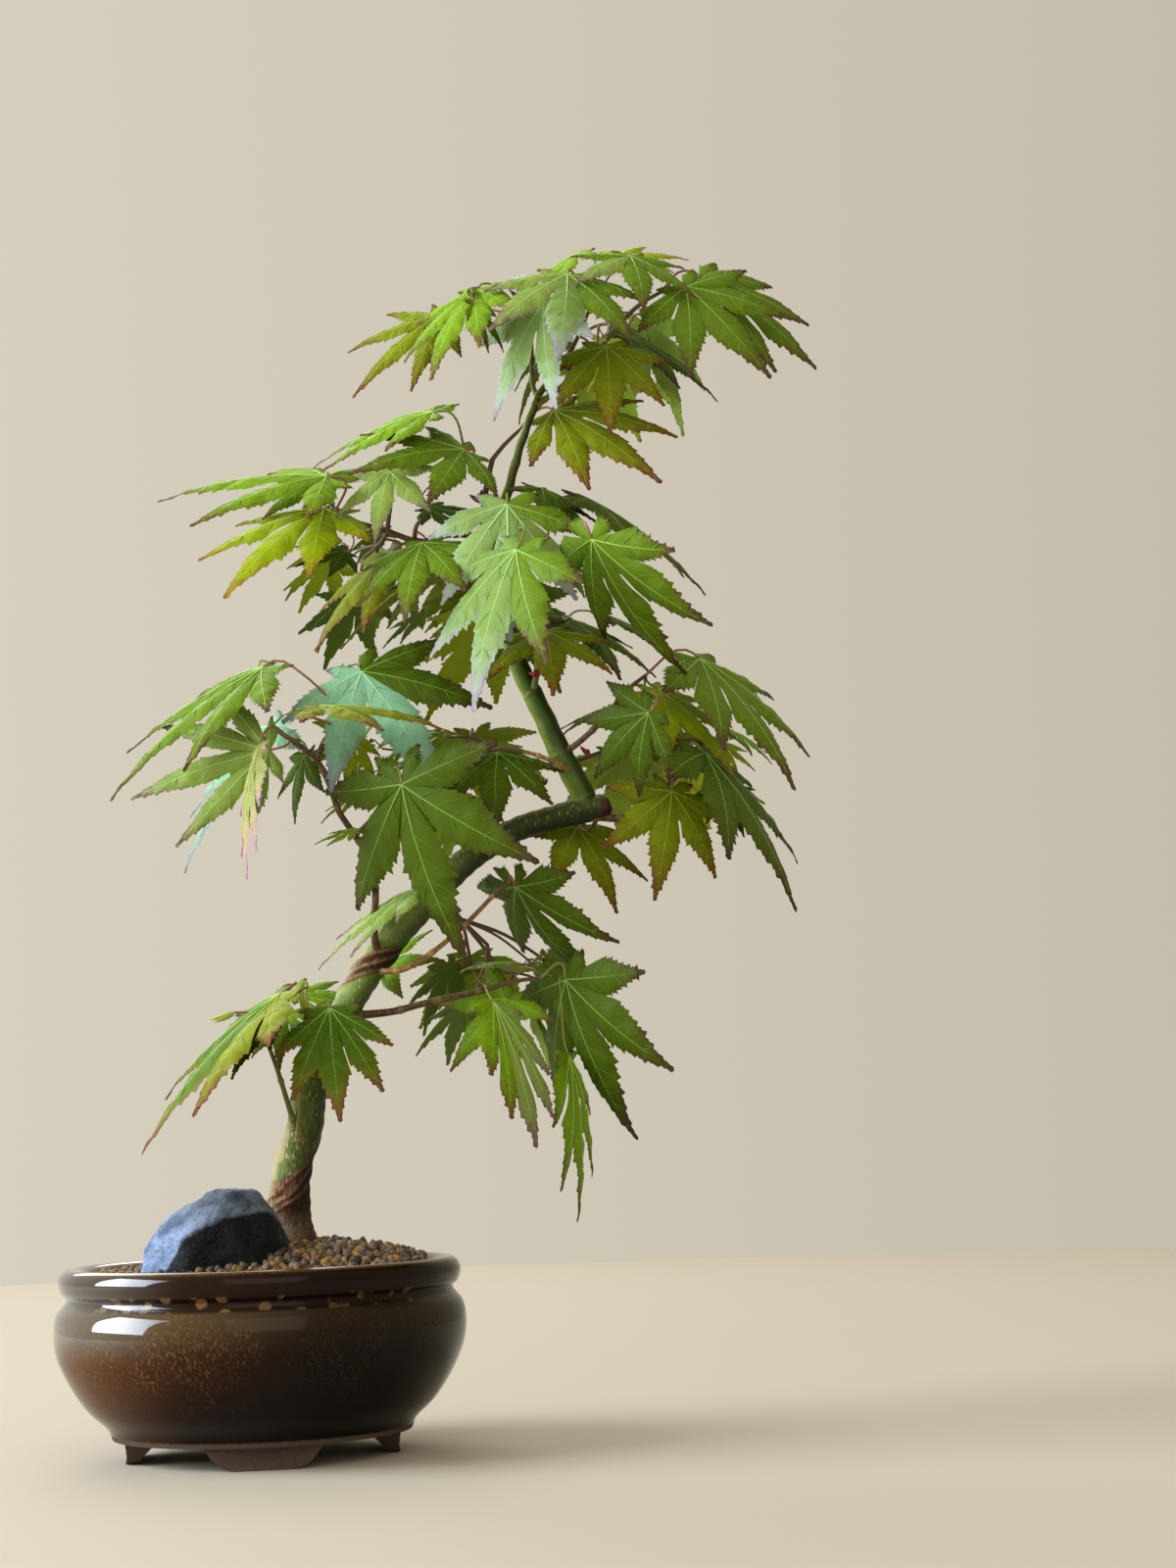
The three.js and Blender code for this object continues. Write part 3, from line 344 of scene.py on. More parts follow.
class Pile:
    """Points and triangles gathered for one piece, each triangle with the number of its finish."""

    def __init__(self, *shapes):
        self.points, self.faces, self.finish, self.count = [], [], [], 0
        for shape in shapes:
            self.add(*shape)

    def add(self, points, faces, finish=0):
        faces = np.asarray(faces, int)
        self.points.append(np.asarray(points, float))
        self.faces.append(faces + self.count)
        self.finish.append(np.broadcast_to(finish, len(faces)))
        self.count += len(points)

    def tube(self, places, sides, finish=0):
        """Adds a plain tube through places of x, y, z and radius."""
        self.add(*sweep(places, sides)[:2], finish)

    def piece(self, name, finishes, slot, nodes=(), sharp=50, **marks):
        """Makes the piece, smooth but for its sharp edges, that stands for the nodes and rides on the root.
        The marks are values at its points for its finish to read."""
        mesh = bpy.data.meshes.new(name)
        points = (np.concatenate(self.points) + AXIS) * MM
        mesh.from_pydata(points.tolist(), [], np.concatenate(self.faces).tolist())
        for finish in finishes:
            mesh.materials.append(finish)
        mesh.polygons.foreach_set("material_index", np.concatenate(self.finish).astype(np.int32))
        mesh.polygons.foreach_set("use_smooth", np.ones(len(mesh.polygons), bool))
        mesh.set_sharp_from_angle(angle=math.radians(sharp))
        for mark, values in marks.items():
            mesh.attributes.new(mark, "FLOAT", "POINT").data.foreach_set("value", values.astype(np.float32))
        item = placed(name, mesh)
        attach(item, "root")
        if nodes:
            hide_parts(*nodes)


def curve(stations, steps):
    """Places spread evenly along a smooth curve through the stations."""
    knots = np.array(stations, float)
    ends = np.vstack([2 * knots[0] - knots[1], knots, 2 * knots[-1] - knots[-2]])
    fine = []
    for i in range(len(knots) - 1):
        a, b, c, d = ends[i:i + 4]
        g, h, k = (max(np.linalg.norm(v[:3]) ** 0.5, 1e-4) for v in (b - a, c - b, d - c))
        out = ((b - a) / g - (c - a) / (g + h) + (c - b) / h) * h
        into = ((c - b) / h - (d - b) / (h + k) + (d - c) / k) * h
        for x in np.arange(16) / 16:
            place = b + out * x + (3 * (c - b) - 2 * out - into) * x * x + (2 * (b - c) + out + into) * x ** 3
            place[3:] = b[3:] + (c[3:] - b[3:]) * x
            fine.append(place)
    fine = np.array(fine + [knots[-1]])
    far = lengths(fine)
    at = np.linspace(0, far[-1], steps + 1)
    return np.stack([np.interp(at, far, column) for column in fine.T], axis=1)


def skin(rows, sides):
    """Triangles of a closed body of rows of points, with one more point to close each end."""
    grid = np.arange(rows * sides).reshape(rows, sides)
    after = np.roll(grid, -1, axis=1)
    start, end = np.full(sides, rows * sides), np.full(sides, rows * sides + 1)
    return np.vstack([
        np.stack([grid[:-1], after[:-1], grid[1:]], -1).reshape(-1, 3),
        np.stack([after[:-1], after[1:], grid[1:]], -1).reshape(-1, 3),
        np.stack([after[0], grid[0], start], -1), np.stack([grid[-1], after[-1], end], -1)])


def sweep(places, sides, relief=None):
    """A closed tube through places of x, y, z and radius. Angle 0 is at the front, then round by the right.
    Returns its points, its triangles and the relief's other values at the points."""
    at = places[:, :3]
    along = np.gradient(at, axis=0)
    along /= np.linalg.norm(along, axis=1)[:, None]
    side = np.array([0, -1, 0.001])
    if abs(along[0] @ side) > 0.9:
        side = np.array([1, 0, 0.001])
    front = []
    for step in along:
        side = unit(side - (side @ step) * step)
        front.append(side)
    front = np.array(front)
    right = np.cross(along, front)
    angle = np.arange(sides) * 2 * np.pi / sides
    radius, marks = places[:, 3:4], []
    if relief:
        extra, *marks = relief(lengths(places)[:, None], angle[None, :], at[:, None, :])
        radius = radius + extra
    ring = at[:, None] + radius[..., None] * (
        np.cos(angle)[None, :, None] * front[:, None] + np.sin(angle)[None, :, None] * right[:, None])
    shape = (len(places), sides)
    marks = [np.concatenate([np.broadcast_to(m, shape).ravel(), [0, 0]]) for m in marks]
    return np.vstack([ring.reshape(-1, 3), at[:1], at[-1:]]), skin(*shape), marks


def turned(profile, sides):
    """A closed body turned round the bowl's axis from a section that starts and ends on the axis."""
    radius, height = np.array(profile, float).T
    angle = np.arange(sides) * 2 * np.pi / sides
    ring = np.stack([radius[1:-1, None] * np.cos(angle), radius[1:-1, None] * np.sin(angle),
                     np.repeat(height[1:-1, None], sides, axis=1)], -1)
    ends = [[0, 0, height[0]], [0, 0, height[-1]]]
    return np.vstack([ring.reshape(-1, 3), ends]), skin(len(profile) - 2, sides)


class Wire:
    """A node's output that takes part in sums, so that maths on nodes reads as expressions."""

    def __init__(self, nodes, socket):
        self.nodes, self.socket = nodes, socket

    def beside(self, key):
        """Another output of the same node."""
        return Wire(self.nodes, self.socket.node.outputs[key])

    def sum(self, operation, first, second):
        return self.nodes.node("ShaderNodeMath", {0: first, 1: second}, operation=operation)

    def __add__(self, other):
        return self.sum("ADD", self, other)

    def __sub__(self, other):
        return self.sum("SUBTRACT", self, other)

    def __mul__(self, other):
        return self.sum("MULTIPLY", self, other)

    def __truediv__(self, other):
        return self.sum("DIVIDE", self, other)

    def __rsub__(self, other):
        return self.sum("SUBTRACT", other, self)

    __radd__ = __add__
    __rmul__ = __mul__


class Nodes:
    """A tree whose nodes are all added by one method, and the few that most trees share."""

    def __init__(self, tree):
        self.tree = tree

    def give(self, made, key, value):
        if isinstance(value, Wire):
            self.tree.links.new(value.socket, made.inputs[key])
        else:
            made.inputs[key].default_value = value

    def node(self, kind, inputs=(), out=0, **settings):
        made = self.tree.nodes.new(kind)
        for key, value in settings.items():
            setattr(made, key, value)
        for key, value in dict(inputs).items():
            self.give(made, key, value)
        return Wire(self, made.outputs[out]) if made.outputs else None

    def parts(self, vector):
        split = self.node("ShaderNodeSeparateXYZ", {0: vector})
        return [split.beside(i) for i in range(3)]

    def vector(self, operation, first, second):
        return self.node("ShaderNodeVectorMath", {0: first, 1: second}, operation=operation)

    def mix(self, factor, first, second):
        """Colours, or tones in hex digits, mixed by a mask."""
        first, second = (paint(v) if isinstance(v, str) else v for v in (first, second))
        return self.node("ShaderNodeMix", {0: factor, 6: first, 7: second}, out=2, data_type="RGBA")


class Finish(Nodes):
    """A material with its surface and the patterns that its colours are made from."""

    def __init__(self, name, roughness=0.5, **constants):
        self.material = bpy.data.materials.new(name)
        self.material.use_nodes = True
        super().__init__(self.material.node_tree)
        self.surface = self.tree.nodes["Principled BSDF"]
        self.set("Roughness", roughness)
        for key, value in constants.items():
            self.set(key.replace("_", " "), value)

    def set(self, key, value):
        self.give(self.surface, key, value)

    def place(self):
        return self.node("ShaderNodeTexCoord", out="Object")

    def mark(self, name):
        return self.node("ShaderNodeAttribute", out="Fac", attribute_name=name)

    def grain(self, at, size, detail=3.0, rough=0.55):
        """Noise with features of a size in metres."""
        return self.node("ShaderNodeTexNoise", {"Vector": at, "Scale": 1 / size, "Detail": detail,
                                                "Roughness": rough})

    def cells(self, at, size, randomness=1.0, **settings):
        return self.node("ShaderNodeTexVoronoi", {"Vector": at, "Scale": 1 / size, "Randomness": randomness},
                         **settings)

    def ramp(self, value, start, end, low=0.0, high=1.0):
        return self.node("ShaderNodeMapRange", {0: value, 1: start, 2: end, 3: low, 4: high},
                         interpolation_type="SMOOTHSTEP")

    def layers(self, base, *layers):
        """The base with colours laid over it, each by its mask."""
        for mask, tone in layers:
            base = self.mix(mask, base, tone)
        return base

    def flat(self, at, share):
        """The place with its height scaled, which draws a pattern out along Z."""
        return self.vector("MULTIPLY", at, (1, 1, share))

    def bump(self, height, distance, strength=1.0):
        self.set("Normal", self.node("ShaderNodeBump", {
            "Height": height, "Distance": distance, "Strength": strength}))


def plain(name, tone, roughness=0.5):
    return Finish(name, roughness, Base_Color=paint(tone)).material


# Settings


class BowlSettings(bpy.types.PropertyGroup):
    glaze: FloatVectorProperty(name="Glaze", description="Dark brown of the glaze", subtype="COLOR", size=4,
                               default=paint("341b08"), min=0, max=1)
    olive: FloatVectorProperty(name="Olive", description="Olive of the shoulder", subtype="COLOR", size=4,
                               default=paint("52432a"), min=0, max=1)
    gold: FloatVectorProperty(name="Gold", description="Gold mottling on the belly", subtype="COLOR", size=4,
                              default=paint("866034"), min=0, max=1)
    clay: FloatVectorProperty(name="Clay", description="Bare clay of the feet", subtype="COLOR", size=4,
                              default=paint("5f4e45"), min=0, max=1)
    spots: IntProperty(name="Spots", description="Spots in the groove round the neck", default=64, min=8)


class GravelSettings(bpy.types.PropertyGroup):
    spacing: FloatProperty(name="Spacing", description="Least distance between granules", unit="LENGTH",
                           default=2.4 * MM, min=0.001, precision=5)
    smallest: FloatProperty(name="Smallest", description="Smallest radius of a granule", unit="LENGTH",
                            default=1.3 * MM, min=0.0005, precision=5)
    largest: FloatProperty(name="Largest", description="Largest radius of a granule", unit="LENGTH",
                           default=2.05 * MM, min=0.0005, precision=5)
    seed: IntProperty(name="Seed", description="Which scatter of granules", default=4)


class BarkSettings(bpy.types.PropertyGroup):
    green: FloatVectorProperty(name="Green bark", description="Green of the trunk", subtype="COLOR", size=4,
                               default=paint("596d2a"), min=0, max=1)
    brown: FloatVectorProperty(name="Scar", description="Brown of the wire scars", subtype="COLOR", size=4,
                               default=paint("7d5238"), min=0, max=1)
    groove: FloatProperty(name="Groove", description="Depth of the wire scar", unit="LENGTH",
                          default=0.9 * MM, min=0, precision=5)


class LeafSettings(bpy.types.PropertyGroup):
    teeth: IntProperty(name="Teeth", description="Large teeth along each edge of a lobe", default=8, min=3)
    tooth: FloatProperty(name="Tooth", description="Depth of a tooth as a share of the leaf's length",
                         subtype="FACTOR", default=0.031, min=0, max=0.1)
    thickness: FloatProperty(name="Thickness", description="Thickness of a blade", unit="LENGTH",
                             default=0.24 * MM, min=0.0001, precision=5)
    vein: FloatProperty(name="Rib", description="Radius of a leaf's ribs at the heart", unit="LENGTH",
                        default=0.27 * MM, min=0.0001, precision=5)


class StageSettings(bpy.types.PropertyGroup):
    floor: FloatVectorProperty(name="Floor", description="Colour of the floor", subtype="COLOR", size=4,
                               default=paint("c4bbab"), min=0, max=1)
    window: FloatProperty(name="Window", description="Light from the left", unit="POWER", default=46, min=0)
    lens: FloatProperty(name="Lens", description="Focal length", unit="CAMERA", default=63, min=10)


# The bowl


def glaze_finish(settings):
    """Brown glaze with gold mottling, an olive shoulder, tan spots in the neck and a worn lip, with painted
    shade on the right and painted light on the left.
    """
    # the coat's blue tint, which only shows on the left, is a painted reflection of the window
    f = Finish("glaze", 0.12, Specular_IOR_Level=0.14, Coat_Roughness=0.04, Coat_IOR=1.9,
               Coat_Tint=(0.75, 0.85, 1, 1))
    at = f.place()
    x, y, z = f.parts(f.vector("ADD", at, tuple(-AXIS * MM)))
    z = z / MM
    patches = f.grain(at, 0.026, 4)
    specks = f.grain(f.flat(at, 0.6), 0.0009, 3, 0.75)
    # a mask for the right side, which is darkened as painted shade; the olive, gold and spots fade into it
    right = f.ramp(x / MM + patches * 30, -15, 45)
    # an olive shoulder, and gold specks that die out below the belly
    shoulder = f.ramp(z + patches * 8, 38, 50) * (1 - f.ramp(z, 48.6, 50.6))
    band = f.ramp(z, 12, 28) * (1 - f.ramp(z, 46, 50)) * f.ramp(patches, 0.38, 0.6)
    gold = band * f.ramp(specks, 0.5, 0.66)
    groove = f.ramp(z, 47.6, 48.6) * (1 - f.ramp(z, 52.6, 53.4))
    # tan spots in the groove, dealt out round the neck
    around = f.node("ShaderNodeMath", {0: x, 1: 0.0 - y}, operation="ARCTAN2")
    cell = f.node("ShaderNodeCombineXYZ", {
        0: around * (settings.spots / (2 * math.pi)), 1: (z - 50.2) / 5.2})
    spot = f.cells(cell, 1.0, 0.9, voronoi_dimensions="2D")
    kept = f.ramp(f.grain(cell, 1.7, 1) - right * 0.1, 0.38, 0.46)
    spots = f.ramp(spot - f.grain(cell, 0.8, 1) * 0.56, -0.06, 0.02, 1.0, 0.0)
    spots = spots * f.ramp(z, 47.8, 48.6) * (1 - f.ramp(z, 52.2, 53))
    lip = f.ramp(z, 52.8, 54) * (1 - f.ramp(z + specks, 58.6, 60))
    worn = f.ramp(z + specks * 1.4, 59.5, 60.3)
    bare = 1 - f.ramp(z + specks * 0.8, 8.6, 9.2)
    f.set("Base Color", f.layers(
        f.mix(f.ramp(z + patches * 16, 20, 46), "160a04", settings.glaze),
        # painted shade: the glaze near black on the right
        (right * 0.95, "070301"),
        # painted light: paler brown on the left
        (f.ramp(x / MM + patches * 24, -40, -2, 0.6, 0.0), "5c3513"),
        (shoulder * (0.8 - right * 0.6), settings.olive),
        (gold * (0.62 - right * 0.5), settings.gold),
        (groove * 0.8, "1a0d06"),
        (spots * kept * (0.85 - right * 0.45), "80613a"),
        (lip * 0.75, "1d0f07"),
        (worn * 0.6, "6b4a22"),
        (bare, f.mix(specks, settings.clay, "40332e"))))
    # the glaze lies thicker, and shines more, on the left, and its coat there tints it blue as a painted
    # reflection of the window
    f.set("Coat Weight", f.ramp(x / MM + patches * 12, -40, -8, 1.0, 0.0) * f.ramp(z, 30, 42))
    f.set("Roughness", f.ramp(bare, 0, 1, 0.1, 0.85) + gold * 0.08 + spots * 0.12)
    f.bump(f.grain(at, 0.012, 3) * 0.6 + specks * bare, 0.0003, 0.5)
    return f.material


def foot_shape(turn):
    """A foot with a cloud outline, its outer face round and sloping in and its inner face hollowed."""
    top, sole = FOOT_TOP / 2, FOOT_SOLE / 2
    curls = ((top, top - 1.5, sole + 4.5, sole), (6.5, 3.5, 0, 0))
    half = [(top, 11)]
    for s in np.linspace(0, 1, 15):
        r = 1 - s
        half.append(tuple(r ** 3 * a + 3 * r ** 2 * s * b + 3 * r * s ** 2 * c + s ** 3 * d
                          for a, b, c, d in curls))
    outline = np.array(half + [(-x, z) for x, z in reversed(half)])
    x, z = outline.T
    low = np.clip(1 - z / FOOT_HEIGHT, 0, 1)
    front = np.sqrt(FOOT_OUTER ** 2 - x ** 2) - FOOT_SLOPE * low
    rear = FOOT_INNER + FOOT_HOLLOW * np.sqrt(low)
    rows = [np.stack([x, rear + (front - rear) * share, z], 1) for share in np.linspace(0, 1, 7)]
    a = math.radians(turn)
    about = np.array([[math.cos(a), math.sin(a), 0], [-math.sin(a), math.cos(a), 0], [0, 0, 1]])
    points = np.vstack([*rows, rows[0].mean(0)[None], rows[-1].mean(0)[None]]) @ about
    return points, skin(len(rows), len(outline))[:, ::-1]


class MakeBowl(bpy.types.Operator):
    """Makes the glazed bowl on its four feet"""
    bl_idname = "bonsai.bowl"
    bl_label = "Bowl"

    def execute(self, context):
        section = curve([(r, 0, z, 0) for r, z in BOWL[1:-1]], BOWL_STEPS)
        profile = [BOWL[0], *((r, z) for r, _, z, _ in section), BOWL[-1]]
        pile = Pile(turned(profile, BOWL_SIDES), *(foot_shape(POT_TURN + 90 * i) for i in range(4)))
        pile.piece("glazed_bowl", [glaze_finish(context.scene.bonsai_bowl)], "glaze", ["pot"], 40)
        return {"FINISHED"}


# The gravel


def gravel_height(x, y):
    """The height of the gravel's mound at a place."""
    away = np.hypot(x - TRUNK_FOOT[0], y - TRUNK_FOOT[1]) - PATCH
    return GRAVEL_TOP + (GRAVEL_EDGE - GRAVEL_TOP) * smooth(away, 0, MOUND)


def soil_finish():
    f = Finish("damp_soil", 0.9)
    at = f.place()
    f.set("Base Color", f.mix(f.grain(at, 0.002), "2c2118", "5a4732"))
    f.bump(f.grain(at, 0.0015), 0.0006)
    return f.material


def granule_tree(finishes):
    """Scatters rounded granules over a bed and deals the finishes out among them."""
    tree = bpy.data.node_groups.new("granules", "GeometryNodeTree")
    for name, way, kind in (("Geometry", "INPUT", "Geometry"), ("Spacing", "INPUT", "Float"),
                            ("Smallest", "INPUT", "Float"), ("Largest", "INPUT", "Float"),
                            ("Seed", "INPUT", "Int"), ("Geometry", "OUTPUT", "Geometry")):
        tree.interface.new_socket(name, in_out=way, socket_type="NodeSocket" + kind)
    g = Nodes(tree)

    def deal(seed, low, high):
        """A random number or vector for each granule."""
        first, kind = (0, "FLOAT_VECTOR") if isinstance(low, tuple) else (2, "FLOAT")
        return g.node("FunctionNodeRandomValue", {first: low, first + 1: high, "Seed": seed},
                      out=first // 2, data_type=kind)

    def scaled(vector, scale):
        return g.node("ShaderNodeVectorMath", {0: vector, "Scale": scale}, operation="SCALE")

    start = g.node("NodeGroupInput")
    scatter = g.node("GeometryNodeDistributePointsOnFaces", {
        "Mesh": start.beside("Geometry"), "Distance Min": start.beside("Spacing"), "Density Max": 900000.0,
        "Seed": start.beside("Seed")}, distribute_method="POISSON")
    heap = g.node("GeometryNodeSetPosition", {
        "Geometry": scatter, "Offset": deal(3, (0, 0, -0.0004), (0, 0, 0.001))})
    size = deal(5, start.beside("Smallest"), start.beside("Largest"))
    dealt = g.node("GeometryNodeInstanceOnPoints", {
        "Points": heap, "Instance": g.node("GeometryNodeMeshIcoSphere", {"Radius": 1.0, "Subdivisions": 2}),
        "Rotation": deal(9, (0, 0, 0), (6.28, 6.28, 6.28)),
        "Scale": scaled(deal(7, (0.85, 0.75, 0.6), (1.2, 1.0, 0.9)), size)})
    named = g.node("GeometryNodeStoreNamedAttribute", {
        "Geometry": dealt, "Name": "deal", "Value": deal(11, 0.0, 1.0)}, domain="INSTANCE")
    lumps = g.node("ShaderNodeTexNoise", {"Scale": 520.0, "Detail": 1.0}, out="Color")
    last = g.node("GeometryNodeSetPosition", {
        "Geometry": g.node("GeometryNodeRealizeInstances", {"Geometry": named}),
        "Offset": scaled(g.vector("SUBTRACT", lumps, (0.5, 0.5, 0.5)), 0.0019)})
    share = g.node("GeometryNodeInputNamedAttribute", {"Name": "deal"})
    for i, finish in enumerate(finishes):
        above = g.node("FunctionNodeCompare", {0: share, 1: i / len(finishes)}, operation="GREATER_EQUAL")
        last = g.node("GeometryNodeSetMaterial", {"Geometry": last, "Selection": above, "Material": finish})
    g.node("NodeGroupOutput", {"Geometry": last})
    return tree


class MakeGravel(bpy.types.Operator):
    """Makes the granules over the soil, round the trunk and the rock"""
    bl_idname = "bonsai.gravel"
    bl_label = "Gravel"

    def execute(self, context):
        settings = context.scene.bonsai_gravel
        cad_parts["gravel"].data.materials[0] = soil_finish()
        mesh = bpy.data.meshes.new("gravel_granules")
        mesh.from_pydata(*self.bed())
        granules = placed("gravel_granules", mesh)
        tree = granule_tree([plain(f"granule_{i}", tone, 0.62) for i, tone in enumerate(GRANULE_TONES)])
        scatter = granules.modifiers.new("granules", "NODES")
        scatter.node_group = tree
        values = {"Spacing": settings.spacing, "Smallest": settings.smallest, "Largest": settings.largest,
                  "Seed": settings.seed}
        for socket in tree.interface.items_tree:
            if socket.name in values:
                scatter[socket.identifier] = values[socket.name]
        graph = context.evaluated_depsgraph_get()
        solid = bpy.data.meshes.new_from_object(granules.evaluated_get(graph))
        granules.modifiers.clear()
        granules.data = solid
        solid.polygons.foreach_set("use_smooth", np.ones(len(solid.polygons), bool))
        if len(solid.polygons) < FEWEST_FACES:
            raise RuntimeError("the gravel's bed came out nearly bare")
        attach(granules, "root")
        return {"FINISHED"}

    def bed(self):
        """The surface that granules lie on, left open at the trunk and the rock: points, edges and faces."""
        points, faces = [], []
        for i in range(BED_RINGS + 1):
            for j in range(BED_SIDES):
                r, a = BED * i / BED_RINGS, 2 * math.pi * j / BED_SIDES
                x, y = r * math.cos(a), r * math.sin(a)
                points.append((x, y, gravel_height(x, y) + 0.5))
        ways, far = rock_facets()
        for i in range(BED_RINGS):
            for j in range(BED_SIDES):
                here, after = i * BED_SIDES, (j + 1) % BED_SIDES
                corners = [here + j, here + BED_SIDES + j, here + BED_SIDES + after, here + after]
                middle = np.mean([points[c] for c in corners], axis=0)
                in_rock = np.max(ways @ (middle - ROCK_AT) - far) < ROCK_ROOM
                in_trunk = math.hypot(middle[0] - TRUNK_FOOT[0], middle[1] - TRUNK_FOOT[1]) < TRUNK_ROOM
                if not in_rock and not in_trunk:
                    faces.append(corners if i else corners[1:])
        return ((np.array(points) + AXIS) * MM).tolist(), [], faces


# The rock


def stone_finish():
    f = Finish("dark_stone", 0.5, Specular_IOR_Level=0.12)
    at = f.place()
    veins = f.grain(at, 0.011, 6, 0.65)
    fine = f.grain(at, 0.0012, 3, 0.6)
    x, y, z = f.parts(f.vector("ADD", at, tuple(-(AXIS + ROCK_AT) * MM)))
    # painted light: paler and bluer on the left, towards the window lamp, and slate grey on the top
    pale = f.ramp((x * 0.9 + z * 0.4 + y * 0.35) / MM + veins * 16, -16, 12, 1.0, 0.0)
    scratches = f.ramp(f.grain(f.flat(at, 3), 0.0035, 4, 0.7), 0.6, 0.68)
    rust = f.ramp(f.grain(f.flat(at, 1.6), 0.006, 2), 0.68, 0.74)
    # painted shade: near black low down on the front and right
    painted_shade = f.ramp((x * 0.9 - y * 1.1 - z * 1.1) / MM + veins * 14 + fine * 2, 15.5, 19)
    f.set("Base Color", f.layers(
        f.mix(f.ramp(veins, 0.34, 0.62), "3c4655", "6f7b8c"),
        (pale, f.mix(f.ramp(veins, 0.34, 0.6), "51627f", "93a8cf")),
        (f.ramp(fine, 0.62, 0.8) * 0.4, "98a6c2"),
        (scratches * 0.5, "8593ad"),
        (rust * 0.55, "6b4a3c"),
        (painted_shade, f.mix(fine, "060708", "1c2026"))))
    f.set("Roughness", f.ramp(veins, 0.3, 0.7, 0.42, 0.6))
    f.bump(veins * 0.8 + fine * 0.4 - scratches * 0.2, 0.0013, 0.95)
    return f.material


class MakeRock(bpy.types.Operator):
    """Makes the dark rock, its edges worn round and its faces pitted"""
    bl_idname = "bonsai.rock"
    bl_label = "Rock"

    def execute(self, context):
        ball = bmesh.new()
        bmesh.ops.create_icosphere(ball, subdivisions=6, radius=1)
        ways = np.array([v.co for v in ball.verts])
        faces = [[v.index for v in face.verts] for face in ball.faces]
        ball.free()
        facing, far = rock_facets()
        reach = np.sum((np.maximum(ways @ facing.T, 0) / far) ** ROCK_SHARP, axis=1) ** (-1 / ROCK_SHARP)
        points = ways * reach[:, None]
        lumps = np.array([noise.fractal(Vector(p) * 0.14, 1.0, 2.0, 4) for p in points])
        grit = np.array([noise.fractal(Vector(p) * 0.75, 0.9, 2.1, 3) for p in points])
        reach += lumps * 0.75 + grit * 0.13 - 0.1
        draw = Draws(17)
        for _ in range(ROCK_PITS):
            way = unit(np.array([draw() - 0.5, draw() - 0.7, draw() - 0.25]))
            middle = points[np.argmax(ways @ way)]
            wide, deep = 0.8 + 1.8 * draw() ** 2, 0.25 + 0.5 * draw()
            away = np.linalg.norm((points - middle) * (1, 1, 1.5), axis=1)
            reach -= deep * np.exp(-(away / wide) ** 2)
        pile = Pile((ways * reach[:, None] + ROCK_AT, faces))
        pile.piece("dark_rock", [stone_finish()], "rock", ["rock"], 80)
        return {"FINISHED"}


# The trunk and the boughs


def bark_finish(settings):
    """Green bark with pale specks, brown and ridged where wire has marked it and at the foot, with painted
    light on the left and painted shade on the right.
    """
    f = Finish("trunk_bark", 0.6, Specular_IOR_Level=0.2)
    at = f.place()
    scar, ridge, shade = f.mark("scar"), f.mark("ridge"), f.mark("shade")
    height = f.parts(at)[2] / MM
    patches = f.grain(at, 0.012, 4)
    fine = f.grain(f.flat(at, 0.35), 0.0011, 3, 0.65)
    specks = f.cells(f.flat(at, 0.36), 0.0013, 1.0)
    often = f.ramp(height, 84, 116, 0.14, 0.0)
    pale = f.ramp(specks, 0.16, 0.34, 1.0, 0.0) * f.ramp(f.grain(at, 0.004, 3) + often, 0.42, 0.54)
    # tan patches, more where the outer bark has come away on the left, which is partly a painted highlight;
    # none in the painted shade
    tan = f.ramp(f.grain(f.flat(at, 0.6), 0.014, 2) + f.mark("peel") * 0.4, 0.62, 0.72) * (1 - shade)
    green = f.layers(
        f.mix(f.ramp(patches, 0.35, 0.65), settings.green, "82934a"),
        (f.ramp(fine + patches * 0.3, 0.6, 0.76) * 0.7, "3d4f1c"),
        # painted light: paler green from the middle of the trunk up
        (f.ramp(height + patches * 12, 134, 152) * 0.65, "8ba14c"),
        # the painted shadow of the leaves, with the specks and tan fading in it
        (shade, "1f2a0c"),
        (pale * (1 - shade * 0.7) * 0.9, "cdbf8c"),
        (tan * 0.75, "b5a073"))
    low = f.ramp(height + patches * 8, 72, 82, 1.0, 0.0)
    brown = f.layers(
        f.mix(f.ramp(fine, 0.35, 0.7), "4a3022", settings.brown),
        # painted shade in the creases between the scar's ridges, and a painted highlight on their tops
        ((1 - ridge) * 0.45, "33211a"),
        (low, f.mix(f.ramp(fine, 0.3, 0.7), "5d4a3a", "a08a70")),
        (ridge * f.ramp(fine + patches * 0.4, 0.5, 0.8), "b98f6a"))
    # painted light: paler on the left; painted shade: darker on the right
    side = f.mark("side") + patches * 0.2 - 0.1
    f.set("Base Color", f.layers(
        f.mix(f.ramp(scar + (patches - 0.5) * 0.5, 0.3, 0.6), green, brown),
        (f.ramp(side, 0.35, 0.9) * 0.7, "14130a"),
        (f.ramp(side, 0.0, 0.25, 0.4, 0.0), "c3b888")))
    f.set("Roughness", f.ramp(scar, 0, 1, 0.5, 0.75))
    f.bump(fine * 0.7 + patches * 0.3 + pale * 0.4 + scar * fine, 0.0008, 0.9)
    return f.material


